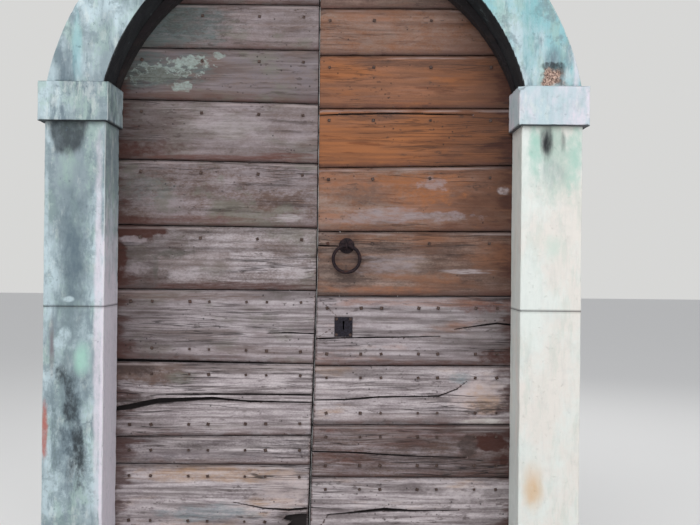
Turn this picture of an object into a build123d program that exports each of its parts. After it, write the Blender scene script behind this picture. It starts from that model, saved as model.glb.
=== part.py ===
from build123d import *
import os
from math import sqrt

# Arched double door of weathered boards in a stone surround.
# Millimetres. X runs right as seen from the street, Y runs into the building, Z is up.
# The origin is in the middle of the threshold's underside.

# Stone surround
opening_half_width = 750  # middle of the doorway to a jamb's reveal
jamb_face = 221  # a jamb's width seen from the street
jamb_depth = 300
reveal_depth = 175  # stone in front of the leaves
rebate = 50  # step of the jambs behind the reveal
jamb_joint_z = 1170  # bed joint between a jamb's two stones
threshold_height = 60
threshold_nosing = 30  # threshold in front of the jambs
threshold_side = 29  # threshold beyond the jambs
impost_z = 1839  # underside of the impost blocks
impost_height = 142
impost_projection = 20  # at the front and the outer side
impost_lip = 14  # into the doorway
arch_setback = 7  # soffit's feet beyond the doorway's sides
arch_width = 205  # ring seen from the street
arch_centre_drop = 192  # arch centre below the impost tops
crown_joint = 1  # joint between the two arch stones
stone_wear = 5  # rounding of the stones' edges
threshold_wear = 10  # and of the threshold's front

# Dark timber rim under the soffit, in front of the leaves
rim_foot = 8  # height of the strip seen below the soffit at its feet
rim_crown = 50  # and at the crown
rim_depth = 45
rim_setback = 2  # rim's back to the stone's back
rim_gap = 0.3

# Leaves
leaf_gap = 2  # between the stone's back and the boards
leaf_overlap = 35  # leaf behind the stone
leaf_clearance = 6  # leaf above the threshold
board_thickness = 30
plank_thickness = 30
seam_gap = 3
board_wear = 2.5  # bevel along the boards' front edges
plank_gap = 2
plank_joints = (96, 320, 545)  # joints between the inner planks, from the middle
meeting_gap = 5
meeting_foot_gap = 11  # between the worn boards at the foot; the planks keep the other gap
meeting_top_x = 10  # meeting line above its knee
meeting_foot_x = -18  # and at the leaves' feet
meeting_knee_z = 1300

# Seams between the outer boards: height at the hinge edge and at the meeting edge
left_seams = (
    (303, 300),
    (564, 564),
    (666, 678),
    (963, 951),
    (1230, 1231),
    (1476, 1470),
    (1727, 1716),
    (1956, 1944),
    (2153, 2148),
    (2322, 2321),
)
right_seams = (
    (268, 263),
    (525, 518),
    (726, 718),
    (951, 944),
    (1217, 1210),
    (1464, 1457),
    (1717, 1700),
    (1934, 1927),
    (2137, 2129),
    (2315, 2308),
)
wedge_seam = 3  # this seam of the left leaf has opened into a wedge
wedge_opening = 9  # its extra gap at the hinge edge

# Nails, by their square forged heads
nail_head = 10
nail_height = 3
nail_taper = 30
nail_x = (50, 180, 258, 400, 474, 618, 700)  # upright rows, from the middle
upper_nail_x = (50, 219, 437, 667)
rim_nail_x = 710  # farthest nail above the imposts
nail_margin = 44  # from a seam to a row
double_row_below_z = 1240  # boards below this height carry two rows
narrow_board = 150  # a board lower than this carries one row
nail_edge = 20  # from the edge of what shows to a nail

# Strap hinges on pintles
hinge_heights = (330, 1000, 1700)  # undersides of the eyes
pin_radius = 8
pin_play = 0.3
strap_length = 560
strap_width = 50
strap_tip_radius = 16
strap_thickness = 6
strap_nail_pitch = 140
strap_nail_count = 4
hinge_inset = 5  # hinge axis inside the leaf's outer edge
pintle_let_in = 70  # shank in the stone

# Ring pull
ring_x = 122
ring_z = 1353
ring_radius = 50.5
ring_rod_radius = 6.5
eye_radius = 11.5
eye_rod_radius = 4.2
shank_radius = 5.2
shank_play = 0.3
ring_plate_radius = 30
ring_plate_thickness = 3
ring_plate_bevel = 1.5
clench_length = 26  # the spike's end, beaten flat over the planks
clench_thickness = 4

# Key plate and lock
key_x = 113
key_z = 1094
key_plate_width = 69
key_plate_height = 76
key_plate_thickness = 3
key_plate_bevel = 1
key_plate_nail_inset = 8
keyhole_rise = 5  # keyhole above the middle of its plate
keyhole_radius = 4.5
keyhole_slot_width = 5
keyhole_height = 35
keyhole_ease = 1  # keyhole wider in the wood than in the plate
case_width = 175
case_height = 112
case_depth = 32
case_wall = 3
case_rise = 12  # case above the middle of the key plate
case_setback = 5  # lock and keeper from the meeting edges
case_nail_inset = 14
bolt_height = 28
bolt_thickness = 12
bolt_length = 130
bolt_rise = 40  # bolt above the middle of the key plate
bolt_play = 0.5
bolt_tip_inset = 1
bolt_bevel = 1
bolt_notch_width = 16
bolt_notch_depth = 6
keeper_width = 50
keeper_wall = 4
keeper_ease = 4
keeper_foot = 20
spring_thickness = 1.5
spring_length = 90
spring_width = 8

# Slide bolts on the back of the left leaf
rod_radius = 8
rod_x = -62
rod_length = 620
rod_tip_bevel = 2
rod_setback = 6  # rod's tip inside the leaf's edge
rod_travel = 40
rod_ease = 2  # socket and bracket hole round the rod
rod_play = 0.4  # guides round the rod
guide_wall = 5
guide_height = 26
guide_foot = 14
guide_foot_thickness = 2.5
guide_setback = 90  # guides from the rod's ends
handle_radius = 6
handle_length = 38
handle_inset = 24
bracket_width = 60
bracket_wall = 8
bracket_height = 90
bracket_clearance = 8  # bracket above the leaf
bracket_nose = 14  # bracket past the rod

# Damage
spall_radius = 60
spall_depth = 9
spalls = ((846, 2006), (868, 2032), (862, 1996))  # on the right arch stone's foot
chip_radius = 26  # broken corner of the right impost
chip_rise = 9  # middle of the break above the impost
split_depth = 14
deep_split_depth = 22
rot_depth = 20

# Splits in the boards: x, z and opening at each point
left_foot_split = ((-300, 420, 2), (-190, 398, 6), (-90, 392, 9), (0, 400, 8))
left_main_split = (
    (-790, 766, 14),
    (-700, 780, 22),
    (-590, 804, 20),
    (-385, 816, 10),
    (-250, 806, 6),
    (20, 803, 5),
)
left_upper_split = ((-560, 828, 2), (-385, 832, 6), (-180, 833, 6), (20, 832, 6))
left_short_split = ((-180, 1067, 2), (-90, 1069, 4), (20, 1066, 4))
right_foot_split = ((60, 376, 3), (180, 386, 10), (275, 397, 15), (385, 393, 9), (560, 398, 2))
right_lower_split = ((-20, 617, 5), (160, 614, 6), (360, 603, 5), (589, 599, 2))
right_main_split = (
    (-20, 812, 4),
    (120, 816, 6),
    (251, 827, 5),
    (480, 833, 5),
    (548, 860, 4),
    (585, 890, 2),
)
right_lock_split = ((-20, 1046, 5), (119, 1052, 5), (300, 1056, 4), (481, 1061, 2))
right_hinge_split = ((538, 1089, 2), (640, 1105, 6), (700, 1113, 6), (790, 1104, 6))
right_ring_split = ((-20, 1404, 4), (40, 1403, 5), (88, 1402, 3))
right_upper_split = ((-20, 1900, 2), (130, 1907, 6), (300, 1911, 6), (600, 1908, 3))

# Rotten patch near the foot of the left leaf, at the meeting edge
rot_outline = (
    (20, 378),
    (-40, 380),
    (-96, 372),
    (-112, 356),
    (-80, 346),
    (-98, 330),
    (-44, 322),
    (20, 326),
)

# The splits of each board, by the board's place above the foot
left_splits = {
    1: ((left_foot_split, split_depth), (rot_outline, rot_depth)),
    3: ((left_main_split, deep_split_depth), (left_upper_split, split_depth)),
    4: ((left_short_split, split_depth),),
}
right_splits = {
    1: ((right_foot_split, deep_split_depth),),
    2: ((right_lower_split, split_depth),),
    3: ((right_main_split, split_depth),),
    4: ((right_lock_split, split_depth), (right_hinge_split, split_depth)),
    5: ((right_ring_split, split_depth),),
    7: ((right_upper_split, split_depth),),
}

# Levels that follow from the sizes above
overall_depth = threshold_nosing + jamb_depth
front_y = threshold_nosing - overall_depth / 2
back_y = front_y + jamb_depth
stone_back = front_y + reveal_depth
jamb_outer = opening_half_width + jamb_face
rebate_x = opening_half_width + rebate
impost_top = impost_z + impost_height
arch_z = impost_top - arch_centre_drop
arch_radius = sqrt((opening_half_width + arch_setback) ** 2 + arch_centre_drop**2)
arch_outer_radius = arch_radius + arch_width
soffit_crown = arch_z + arch_radius

rim_half_chord = sqrt(arch_radius**2 - arch_centre_drop**2) - rim_foot
rim_rise = soffit_crown - rim_crown - impost_top
rim_radius = (rim_half_chord**2 + rim_rise**2) / (2 * rim_rise)
rim_z = soffit_crown - rim_crown - rim_radius

leaf_x = opening_half_width + leaf_overlap
leaf_radius = arch_radius + leaf_overlap
leaf_foot = threshold_height + leaf_clearance
leaf_crown = arch_z + leaf_radius
leaf_front = stone_back + leaf_gap
plank_front = leaf_front + board_thickness
leaf_back = plank_front + plank_thickness

eye_bore_radius = pin_radius + pin_play
eye_outer_radius = eye_bore_radius + strap_thickness
hinge_x = leaf_x - hinge_inset
hinge_y = leaf_back + eye_outer_radius

pivot_z = ring_z + ring_radius
pivot_y = leaf_front - ring_plate_thickness - eye_rod_radius - eye_radius
case_z = key_z + case_rise
bolt_z = key_z + bolt_rise
bolt_y = leaf_back + case_depth / 2
rod_y = leaf_back + guide_wall + rod_play + rod_radius
top_rod_tip = arch_z + sqrt(leaf_radius**2 - rod_x**2) - rod_setback
bottom_rod_tip = leaf_foot + rod_setback
reach = 2 * arch_outer_radius  # longer than any outline that it trims

sides = {"left": -1, "right": 1}
seams = {"left": left_seams, "right": right_seams}
splits = {"left": left_splits, "right": right_splits}


def write(part, name):
    """Label one finished piece and write it as its own file."""
    part.label = name
    export_step(part, f"parts/{name}.step")


def facade(y):
    """The upright plane at a depth, facing the street, with X to the right and Z up."""
    return Plane.XZ.offset(-y)


def inside(y):
    """The upright plane at a depth, facing the building, with X to the left and Z up."""
    return Plane(origin=(0, y, 0), x_dir=(-1, 0, 0), z_dir=(0, 1, 0))


def meeting_x(side, z, foot_gap=meeting_foot_gap):
    """The meeting edge of a leaf at a height: plumb above the knee, leaning below it."""
    lean = (meeting_knee_z - z) / (meeting_knee_z - leaf_foot)
    lean = min(max(lean, 0), 1)
    middle = meeting_top_x + lean * (meeting_foot_x - meeting_top_x)
    gap = meeting_gap + lean * (foot_gap - meeting_gap)
    return middle + side * gap / 2


case_x = meeting_x(1, case_z) + case_setback
keeper_x = meeting_x(-1, bolt_z) - case_setback


# Threshold: one slab under both jambs, with the socket of the bottom slide bolt
def make_threshold():
    with BuildPart() as threshold:
        with BuildSketch():
            Rectangle(2 * (jamb_outer + threshold_side), overall_depth)
        extrude(amount=threshold_height)
        fillet(threshold.edges().group_by(Axis.Y)[0].sort_by(Axis.Z)[-1], threshold_wear)
        with Locations((rod_x, rod_y, threshold_height)):
            Hole(rod_radius + rod_ease, depth=rod_travel + rod_ease)
    write(threshold.part, "threshold")


# Jambs: stones of L-shaped plan, whose rear part carries the pintles
def make_jamb(name, side, bottom, top):
    with BuildPart() as jamb:
        with BuildSketch(Plane.XY.offset(bottom)):
            with BuildLine():
                Polyline(
                    (side * opening_half_width, front_y),
                    (side * jamb_outer, front_y),
                    (side * jamb_outer, back_y),
                    (side * rebate_x, back_y),
                    (side * rebate_x, stone_back),
                    (side * opening_half_width, stone_back),
                    close=True,
                )
            make_face()
        extrude(amount=top - bottom)
        fillet(jamb.edges().filter_by(Axis.Z).group_by(Axis.Y)[0], stone_wear)
        for height in hinge_heights:
            shank_z = height - pin_play - pin_radius
            if bottom < shank_z < top:
                with Locations((side * (rebate_x + pintle_let_in / 2), hinge_y, shank_z)):
                    Box(pintle_let_in, 2 * pin_radius, 2 * pin_radius, mode=Mode.SUBTRACT)
    write(jamb.part, name)


# Imposts: square blocks that project past the jambs and carry the arch
def make_impost(name, side):
    outer = jamb_outer + impost_projection
    inner = opening_half_width - impost_lip
    face_y = front_y - impost_projection
    with BuildPart() as impost:
        with BuildSketch(Plane.XY.offset(impost_z)):
            with BuildLine():
                Polyline(
                    (side * inner, face_y),
                    (side * outer, face_y),
                    (side * outer, back_y),
                    (side * rebate_x, back_y),
                    (side * rebate_x, stone_back),
                    (side * inner, stone_back),
                    close=True,
                )
            make_face()
        extrude(amount=impost_height)
        fillet(impost.faces().sort_by(Axis.Y)[0].edges(), stone_wear)
        if side > 0:
            with Locations((side * inner, face_y, impost_top + chip_rise)):
                Sphere(chip_radius, mode=Mode.SUBTRACT)
    write(impost.part, f"{name}_impost")


# Arch: two stones that spring from the imposts and meet at the crown
def make_arch_stone(name, side):
    with BuildPart() as stone:
        with BuildSketch(facade(stone_back)):
            with Locations((0, arch_z)):
                Circle(arch_outer_radius)
                Circle(arch_radius, mode=Mode.SUBTRACT)
            with Locations((side * (crown_joint + reach) / 2, impost_top + reach / 2)):
                Rectangle(reach, reach, mode=Mode.INTERSECT)
        extrude(amount=reveal_depth)
        fillet(stone.edges().group_by(Axis.Y)[0].filter_by(GeomType.CIRCLE), stone_wear)
        if side > 0:
            dish_y = front_y + spall_depth - spall_radius
            with Locations(*[(x, dish_y, z) for x, z in spalls]):
                Sphere(spall_radius, mode=Mode.SUBTRACT)
    write(stone.part, f"{name}_arch_stone")


# Rim: two timber pieces that fill the soffit down to the arch that the leaves show
def make_rim(name, side):
    with BuildPart() as rim:
        with BuildSketch(facade(stone_back - rim_setback)):
            with Locations((0, arch_z)):
                Circle(arch_radius - rim_gap)
            with Locations((0, rim_z)):
                Circle(rim_radius, mode=Mode.SUBTRACT)
            with Locations((side * (rim_gap + reach) / 2, impost_top + reach / 2)):
                Rectangle(reach, reach, mode=Mode.INTERSECT)
        extrude(amount=rim_depth)
    write(rim.part, f"{name}_rim")


# Pintles: upright pins on square shanks let into the jambs
def make_pintles(name, side):
    shank_start = hinge_x - pin_radius
    shank_length = rebate_x + pintle_let_in - shank_start
    with BuildPart() as pintles:
        for height in hinge_heights:
            shoulder = height - pin_play
            with Locations((side * (shank_start + shank_length / 2), hinge_y, shoulder - pin_radius)):
                Box(shank_length, 2 * pin_radius, 2 * pin_radius)
            with Locations((side * hinge_x, hinge_y, shoulder)):
                Cylinder(
                    pin_radius,
                    strap_width + pin_radius,
                    align=(Align.CENTER, Align.CENTER, Align.MIN),
                )
    write(pintles.part, f"{name}_pintles")


# The outline that both layers of both leaves are cut to
with BuildSketch() as leaf_outline:
    with Locations((0, arch_z)):
        Circle(leaf_radius)
    with Locations((0, leaf_foot)):
        Rectangle(2 * leaf_x, arch_z - leaf_foot, align=(Align.CENTER, Align.MIN))


def board_limits(name):
    """The lower and upper edge of each board of a leaf, from the foot up."""
    lows = [(leaf_foot, leaf_foot)]
    highs = []
    for number, (hinge, meeting) in enumerate(seams[name]):
        wedge = wedge_opening if (name, number) == ("left", wedge_seam) else 0
        highs.append((hinge - seam_gap / 2 - wedge, meeting - seam_gap / 2))
        lows.append((hinge + seam_gap / 2, meeting + seam_gap / 2))
    highs.append((leaf_crown, leaf_crown))
    return list(zip(lows, highs))


def spans(low, high, z):
    """Whether a height lies between a board's edges."""
    return max(low) < z < min(high)


def cut(outline, y, depth):
    """Cut a closed outline into the front of the current piece."""
    with BuildSketch(facade(y)) as opening:
        with BuildLine():
            Polyline(*outline, close=True)
        make_face()
    extrude(opening.sketch, amount=-depth, mode=Mode.SUBTRACT)


def split_outline(points):
    """The outline of a split; a plain outline is passed on as it is."""
    if len(points[0]) == 2:
        return points
    upper = [(x, z + opening / 2) for x, z, opening in points]
    lower = [(x, z - opening / 2) for x, z, opening in reversed(points)]
    return upper + lower


def cut_keyhole(y, depth, ease=0):
    """Cut the keyhole, a round head over a slot, through a piece whose front is at y."""
    head_z = key_z + keyhole_rise + keyhole_height / 2 - keyhole_radius
    slot_width = keyhole_slot_width + 2 * ease
    slot_height = keyhole_height - keyhole_radius + ease
    with BuildSketch(facade(y)) as keyhole:
        with Locations((key_x, head_z)):
            Circle(keyhole_radius + ease)
            Rectangle(slot_width, slot_height, align=(Align.CENTER, Align.MAX))
    extrude(keyhole.sketch, amount=-depth, mode=Mode.SUBTRACT)


def cut_shank_hole(y, depth):
    """Bore for the shank of the ring's eye through a piece whose front is at y."""
    with BuildSketch(facade(y)) as bore:
        with Locations((ring_x, pivot_z)):
            Circle(shank_radius + shank_play)
    extrude(bore.sketch, amount=-depth, mode=Mode.SUBTRACT)


# Outer boards: laid across the leaf, bevelled by wear and split where they have dried
def make_board(name, side, number, low, high):
    with BuildPart() as board:
        with BuildSketch(facade(plank_front)):
            with BuildLine():
                Polyline(
                    (side * leaf_x, low[0]),
                    (meeting_x(side, low[1]), low[1]),
                    (meeting_x(side, high[1]), high[1]),
                    (side * leaf_x, high[0]),
                    close=True,
                )
            make_face()
            add(leaf_outline.sketch, mode=Mode.INTERSECT)
        extrude(amount=board_thickness)
        chamfer(board.faces().sort_by(Axis.Y)[0].edges(), board_wear)
        for points, depth in splits[name].get(number, ()):
            cut(split_outline(points), leaf_front, depth)
        if side > 0 and spans(low, high, key_z):
            cut_keyhole(leaf_front, board_thickness, keyhole_ease)
        if side > 0 and spans(low, high, pivot_z):
            cut_shank_hole(leaf_front, board_thickness)
    write(board.part, f"{name}_board_{number + 1:02d}")


def inner_edge(side, inner):
    """The edge of a plank towards the middle, from the foot up."""
    if inner > plank_gap:
        return [(side * inner, leaf_foot), (side * inner, leaf_crown)]
    return [(meeting_x(side, z, meeting_gap), z) for z in (leaf_foot, meeting_knee_z, leaf_crown)]


# Inner planks: upright, behind the boards, cut to the same arch
def make_plank(name, side, number, inner, outer):
    with BuildPart() as plank:
        with BuildSketch(facade(leaf_back)):
            with BuildLine():
                Polyline(
                    *inner_edge(side, inner),
                    (side * outer, leaf_crown),
                    (side * outer, leaf_foot),
                    close=True,
                )
            make_face()
            add(leaf_outline.sketch, mode=Mode.INTERSECT)
        extrude(amount=plank_thickness)
        if side > 0 and inner < key_x < outer:
            cut_keyhole(plank_front, plank_thickness, keyhole_ease)
        if side > 0 and inner < ring_x < outer:
            cut_shank_hole(plank_front, plank_thickness)
    write(plank.part, f"{name}_plank_{number + 1}")


# Nails: forged heads on the boards, the straps, the lock and the key plate
def edge_height(edge, x):
    """The height of a board's edge at a distance from the middle."""
    hinge, meeting = edge
    return meeting + (hinge - meeting) * x / leaf_x


def rotten(x, z):
    """Whether a nail would stand in the rotten patch."""
    left = min(point[0] for point in rot_outline) - nail_head
    bottom = min(point[1] for point in rot_outline) - nail_head
    top = max(point[1] for point in rot_outline) + nail_head
    return left < x < 0 and bottom < z < top


def shows(x, z):
    """Whether a nail would stand clear of the reveal and the rim."""
    if z < impost_z - nail_edge:
        return abs(x) < opening_half_width - nail_edge
    below_rim = x**2 + (z - rim_z) ** 2 < (rim_radius - nail_edge) ** 2
    return below_rim and abs(x) < rim_nail_x


def nail_places(name, side):
    """Where a leaf's boards are nailed, as (x, z)."""
    places = []
    limits = board_limits(name)
    for number, (low, high) in enumerate(limits):
        lower_board = max(high) < double_row_below_z
        for column in nail_x if lower_board else upper_nail_x:
            bottom = edge_height(low, column)
            top = edge_height(high, column)
            if number == len(limits) - 1:
                rows = [bottom + nail_margin]
            elif not lower_board:
                rows = [top - nail_margin]
            elif top - bottom < narrow_board:
                rows = [(bottom + top) / 2]
            else:
                rows = [bottom + nail_margin, top - nail_margin]
            places += [(side * column, z) for z in rows]
    return [(x, z) for x, z in places if shows(x, z) and not rotten(x, z)]


def drive_nails(plane, places):
    """Set nail heads on a plane of the current part."""
    with BuildSketch(plane) as heads:
        with Locations(*places):
            Rectangle(nail_head, nail_head)
    extrude(heads.sketch, amount=nail_height, taper=nail_taper)


def make_nails(name, side):
    strap_places = [
        (-side * (hinge_x - strap_nail_pitch * (number + 0.5)), height + strap_width / 2)
        for height in hinge_heights
        for number in range(strap_nail_count)
    ]
    with BuildPart() as nails:
        drive_nails(facade(leaf_front), nail_places(name, side))
        drive_nails(inside(leaf_back + strap_thickness), strap_places)
        if side > 0:
            case_middle = case_x + case_width / 2
            across = case_width / 2 - case_nail_inset
            up = case_height / 2 - case_nail_inset
            corners = [(-case_middle + i * across, case_z + j * up) for i in (-1, 1) for j in (-1, 1)]
            drive_nails(inside(leaf_back + case_depth), corners)
            across = key_plate_width / 2 - key_plate_nail_inset
            up = key_plate_height / 2 - key_plate_nail_inset
            corners = [(key_x + i * across, key_z + j * up) for i in (-1, 1) for j in (-1, 1)]
            drive_nails(facade(leaf_front - key_plate_thickness), corners)
        else:
            foot = bolt_height / 2 + keeper_ease + keeper_wall + keeper_foot / 2
            keeper_places = [(-(keeper_x - keeper_width / 2), bolt_z + j * foot) for j in (-1, 1)]
            drive_nails(inside(leaf_back + keeper_wall), keeper_places)
    write(nails.part, f"{name}_nails")


# Strap hinges: tapered straps on the inner planks, rolled into an eye round the pintle
def make_straps(name, side):
    with BuildPart() as straps:
        for height in hinge_heights:
            middle = height + strap_width / 2
            with BuildSketch(facade(leaf_back + strap_thickness)):
                with Locations((side * (hinge_x - strap_thickness / 2), middle)):
                    Rectangle(strap_thickness, strap_width)
                with Locations((side * (hinge_x - strap_length), middle)):
                    Circle(strap_tip_radius)
                make_hull()
            extrude(amount=strap_thickness)
            with BuildSketch(Plane.XY.offset(height)):
                with Locations((side * hinge_x, hinge_y)):
                    Circle(eye_outer_radius)
            extrude(amount=strap_width)
        for height in hinge_heights:
            with BuildSketch(Plane.XY.offset(height)):
                with Locations((side * hinge_x, hinge_y)):
                    Circle(eye_bore_radius)
            extrude(amount=strap_width, mode=Mode.SUBTRACT)
    write(straps.part, f"{name}_hinge_straps")


# Ring pull: a ring in the eye of a spike that is clenched over behind the leaf
def make_ring_pull():
    with BuildPart() as pull_ring:
        with BuildSketch(Plane.XY.offset(ring_z)):
            with Locations((ring_x + ring_radius, pivot_y)):
                Circle(ring_rod_radius)
        revolve(axis=Axis((ring_x, pivot_y, ring_z), (0, 1, 0)))
    write(pull_ring.part, "pull_ring")

    with BuildPart() as ring_eye:
        with BuildSketch(Plane.XY.offset(pivot_z)):
            with Locations((ring_x, pivot_y - eye_radius)):
                Circle(eye_rod_radius)
        revolve(axis=Axis((ring_x, pivot_y, pivot_z), (1, 0, 0)))
        with BuildSketch(facade(leaf_back + clench_thickness)):
            with Locations((ring_x, pivot_z)):
                Circle(shank_radius)
        extrude(amount=leaf_back + clench_thickness - pivot_y - eye_radius)
        with BuildSketch(facade(leaf_back + clench_thickness)):
            with Locations((ring_x, pivot_z)):
                Rectangle(clench_length, 2 * shank_radius, align=(Align.MIN, Align.CENTER))
        extrude(amount=clench_thickness)
    write(ring_eye.part, "ring_eye")

    with BuildPart() as ring_plate:
        with BuildSketch(facade(leaf_front)):
            with Locations((ring_x, pivot_z)):
                Circle(ring_plate_radius)
        extrude(amount=ring_plate_thickness)
        chamfer(ring_plate.faces().sort_by(Axis.Y)[0].edges(), ring_plate_bevel)
        cut_shank_hole(leaf_front - ring_plate_thickness, ring_plate_thickness)
    write(ring_plate.part, "ring_plate")


# Lock: key plate outside, case with a thrown bolt and its spring inside, keeper opposite
def make_lock():
    with BuildPart() as key_plate:
        with BuildSketch(facade(leaf_front)):
            with Locations((key_x, key_z)):
                Rectangle(key_plate_width, key_plate_height)
        extrude(amount=key_plate_thickness)
        chamfer(key_plate.faces().sort_by(Axis.Y)[0].edges(), key_plate_bevel)
        cut_keyhole(leaf_front - key_plate_thickness, key_plate_thickness)
    write(key_plate.part, "key_plate")

    with BuildPart() as lock_case:
        with Locations((case_x + case_width / 2, leaf_back + case_depth / 2, case_z)):
            Box(case_width, case_depth, case_height)
        offset(amount=-case_wall, openings=lock_case.faces().sort_by(Axis.Y)[0])
        with Locations((case_x, bolt_y, bolt_z)):
            Box(
                2 * case_wall,
                bolt_thickness + 2 * bolt_play,
                bolt_height + 2 * bolt_play,
                mode=Mode.SUBTRACT,
            )
    write(lock_case.part, "lock_case")

    with BuildPart() as lock_bolt:
        with Locations((case_x + bolt_tip_inset + bolt_length / 2, bolt_y, bolt_z)):
            Box(bolt_length, bolt_thickness, bolt_height)
        chamfer(lock_bolt.faces().sort_by(Axis.X)[0].edges(), bolt_bevel)
        with Locations((key_x, bolt_y, bolt_z - bolt_height / 2)):
            Box(bolt_notch_width, bolt_thickness, 2 * bolt_notch_depth, mode=Mode.SUBTRACT)
    write(lock_bolt.part, "lock_bolt")

    spring_start = case_x + (case_width - spring_length) / 2
    spring_middle = spring_start + spring_length / 2
    spring_end = spring_start + spring_length
    spring_top = case_z + case_height / 2 - case_wall
    spring_low = bolt_z + bolt_height / 2 + bolt_play
    with BuildPart() as lock_spring:
        with BuildSketch(facade(bolt_y + spring_width / 2)):
            with BuildLine():
                lower = ThreePointArc(
                    (spring_start, spring_top - spring_thickness),
                    (spring_middle, spring_low),
                    (spring_end, spring_top - spring_thickness),
                )
                upper = ThreePointArc(
                    (spring_start, spring_top),
                    (spring_middle, spring_low + spring_thickness),
                    (spring_end, spring_top),
                )
                Line(lower @ 0, upper @ 0)
                Line(lower @ 1, upper @ 1)
            make_face()
        extrude(amount=spring_width)
    write(lock_spring.part, "lock_spring")

    socket_height = bolt_height + 2 * keeper_ease
    socket_depth = bolt_y + bolt_thickness / 2 + keeper_ease - leaf_back
    keeper_middle = keeper_x - keeper_width / 2
    with BuildPart() as keeper:
        with BuildSketch(inside(leaf_back)):
            with Locations((-keeper_middle, bolt_z)):
                Rectangle(keeper_width, socket_height + 2 * (keeper_wall + keeper_foot))
        extrude(amount=keeper_wall)
        with BuildSketch(inside(leaf_back)):
            with Locations((-keeper_middle, bolt_z)):
                Rectangle(keeper_width, socket_height + 2 * keeper_wall)
        extrude(amount=socket_depth + keeper_wall)
        with BuildSketch(inside(leaf_back)):
            with Locations((-keeper_middle - keeper_wall, bolt_z)):
                Rectangle(keeper_width, socket_height)
        extrude(amount=socket_depth, mode=Mode.SUBTRACT)
    write(keeper.part, "lock_keeper")


# Slide bolts: round rods in guides, into the threshold below and a bracket above
def make_rod(name, tip, up):
    with BuildPart() as rod:
        with Locations((rod_x, rod_y, tip - up * rod_length / 2)):
            Cylinder(rod_radius, rod_length)
        chamfer(rod.edges().group_by(Axis.Z)[-1 if up > 0 else 0], rod_tip_bevel)
        with BuildSketch(inside(rod_y)):
            with Locations((-rod_x, tip - up * (rod_length - handle_inset))):
                Circle(handle_radius)
        extrude(amount=handle_length)
    write(rod.part, name)


def make_guides():
    places = [
        tip - up * distance
        for tip, up in ((top_rod_tip, 1), (bottom_rod_tip, -1))
        for distance in (guide_setback, rod_length - guide_setback)
    ]
    loop_radius = rod_radius + rod_play + guide_wall
    with BuildPart() as guides:
        for z in places:
            with BuildSketch(Plane.XY.offset(z - guide_height / 2)):
                with Locations((rod_x, rod_y)):
                    Circle(loop_radius)
                with Locations((rod_x, (leaf_back + rod_y) / 2)):
                    Rectangle(2 * loop_radius, rod_y - leaf_back)
                with Locations((rod_x, leaf_back)):
                    Rectangle(
                        2 * (loop_radius + guide_foot),
                        guide_foot_thickness,
                        align=(Align.CENTER, Align.MIN),
                    )
                with Locations((rod_x, rod_y)):
                    Circle(rod_radius + rod_play, mode=Mode.SUBTRACT)
            extrude(amount=guide_height)
    write(guides.part, "rod_guides")


def make_bracket():
    low = leaf_crown + bracket_clearance
    nose = rod_y + rod_radius + bracket_nose
    with BuildPart() as bracket:
        with BuildSketch(Plane.YZ.offset(rod_x - bracket_width / 2)):
            with BuildLine():
                Polyline(
                    (stone_back, low),
                    (nose, low),
                    (nose, low + bracket_wall),
                    (stone_back + bracket_wall, low + bracket_wall),
                    (stone_back + bracket_wall, low + bracket_height),
                    (stone_back, low + bracket_height),
                    close=True,
                )
            make_face()
        extrude(amount=bracket_width)
        with Locations((rod_x, rod_y, low + bracket_wall)):
            Hole(rod_radius + rod_ease, depth=bracket_wall)
    write(bracket.part, "top_rod_bracket")


def make_leaf(name, side):
    for number, (low, high) in enumerate(board_limits(name)):
        make_board(name, side, number, low, high)
    edges = (0, *plank_joints, leaf_x + plank_gap / 2)
    for number in range(len(edges) - 1):
        inner = edges[number] + plank_gap / 2
        outer = edges[number + 1] - plank_gap / 2
        make_plank(name, side, number, inner, outer)
    make_nails(name, side)
    make_straps(name, side)


os.makedirs("parts", exist_ok=True)

make_threshold()
for name, side in sides.items():
    make_jamb(f"{name}_lower_jamb", side, threshold_height, jamb_joint_z)
    make_jamb(f"{name}_upper_jamb", side, jamb_joint_z, impost_z)
    make_impost(name, side)
    make_arch_stone(name, side)
    make_rim(name, side)
    make_pintles(name, side)
    make_leaf(name, side)
make_ring_pull()
make_lock()
make_rod("top_rod", top_rod_tip, 1)
make_rod("bottom_rod", bottom_rod_tip, -1)
make_guides()
make_bracket()
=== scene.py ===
import logging
import random
from collections.abc import Callable, Iterable, Sequence
from dataclasses import asdict, dataclass, field
from enum import Enum
from math import atan2, cos, exp, hypot, radians, sin

import bmesh
import bpy
from bmesh.types import BMesh, BMFace, BMVert
from bpy.types import Material, NodeSocket, Object, ShaderNode
from mathutils import Euler, Matrix, Vector, noise


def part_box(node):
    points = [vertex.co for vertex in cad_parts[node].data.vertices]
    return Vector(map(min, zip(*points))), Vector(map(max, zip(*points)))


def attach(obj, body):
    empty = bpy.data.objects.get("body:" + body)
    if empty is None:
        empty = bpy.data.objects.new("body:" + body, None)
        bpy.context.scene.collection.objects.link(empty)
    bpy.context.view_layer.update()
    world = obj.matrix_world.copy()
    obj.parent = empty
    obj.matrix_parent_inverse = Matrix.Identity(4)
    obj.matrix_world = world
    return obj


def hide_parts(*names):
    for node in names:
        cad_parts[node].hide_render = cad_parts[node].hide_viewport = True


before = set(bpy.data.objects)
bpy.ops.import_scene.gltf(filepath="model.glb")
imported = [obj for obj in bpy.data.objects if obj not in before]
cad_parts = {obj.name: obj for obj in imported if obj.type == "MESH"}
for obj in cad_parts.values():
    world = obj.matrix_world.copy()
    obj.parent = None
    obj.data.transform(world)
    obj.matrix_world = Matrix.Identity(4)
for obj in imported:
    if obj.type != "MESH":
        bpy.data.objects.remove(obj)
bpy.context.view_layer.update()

# Dressing of the arched double door. Metres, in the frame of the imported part: X to the right as seen
# from the street, Y into the building, Z up.

log = logging.getLogger("door")

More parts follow.
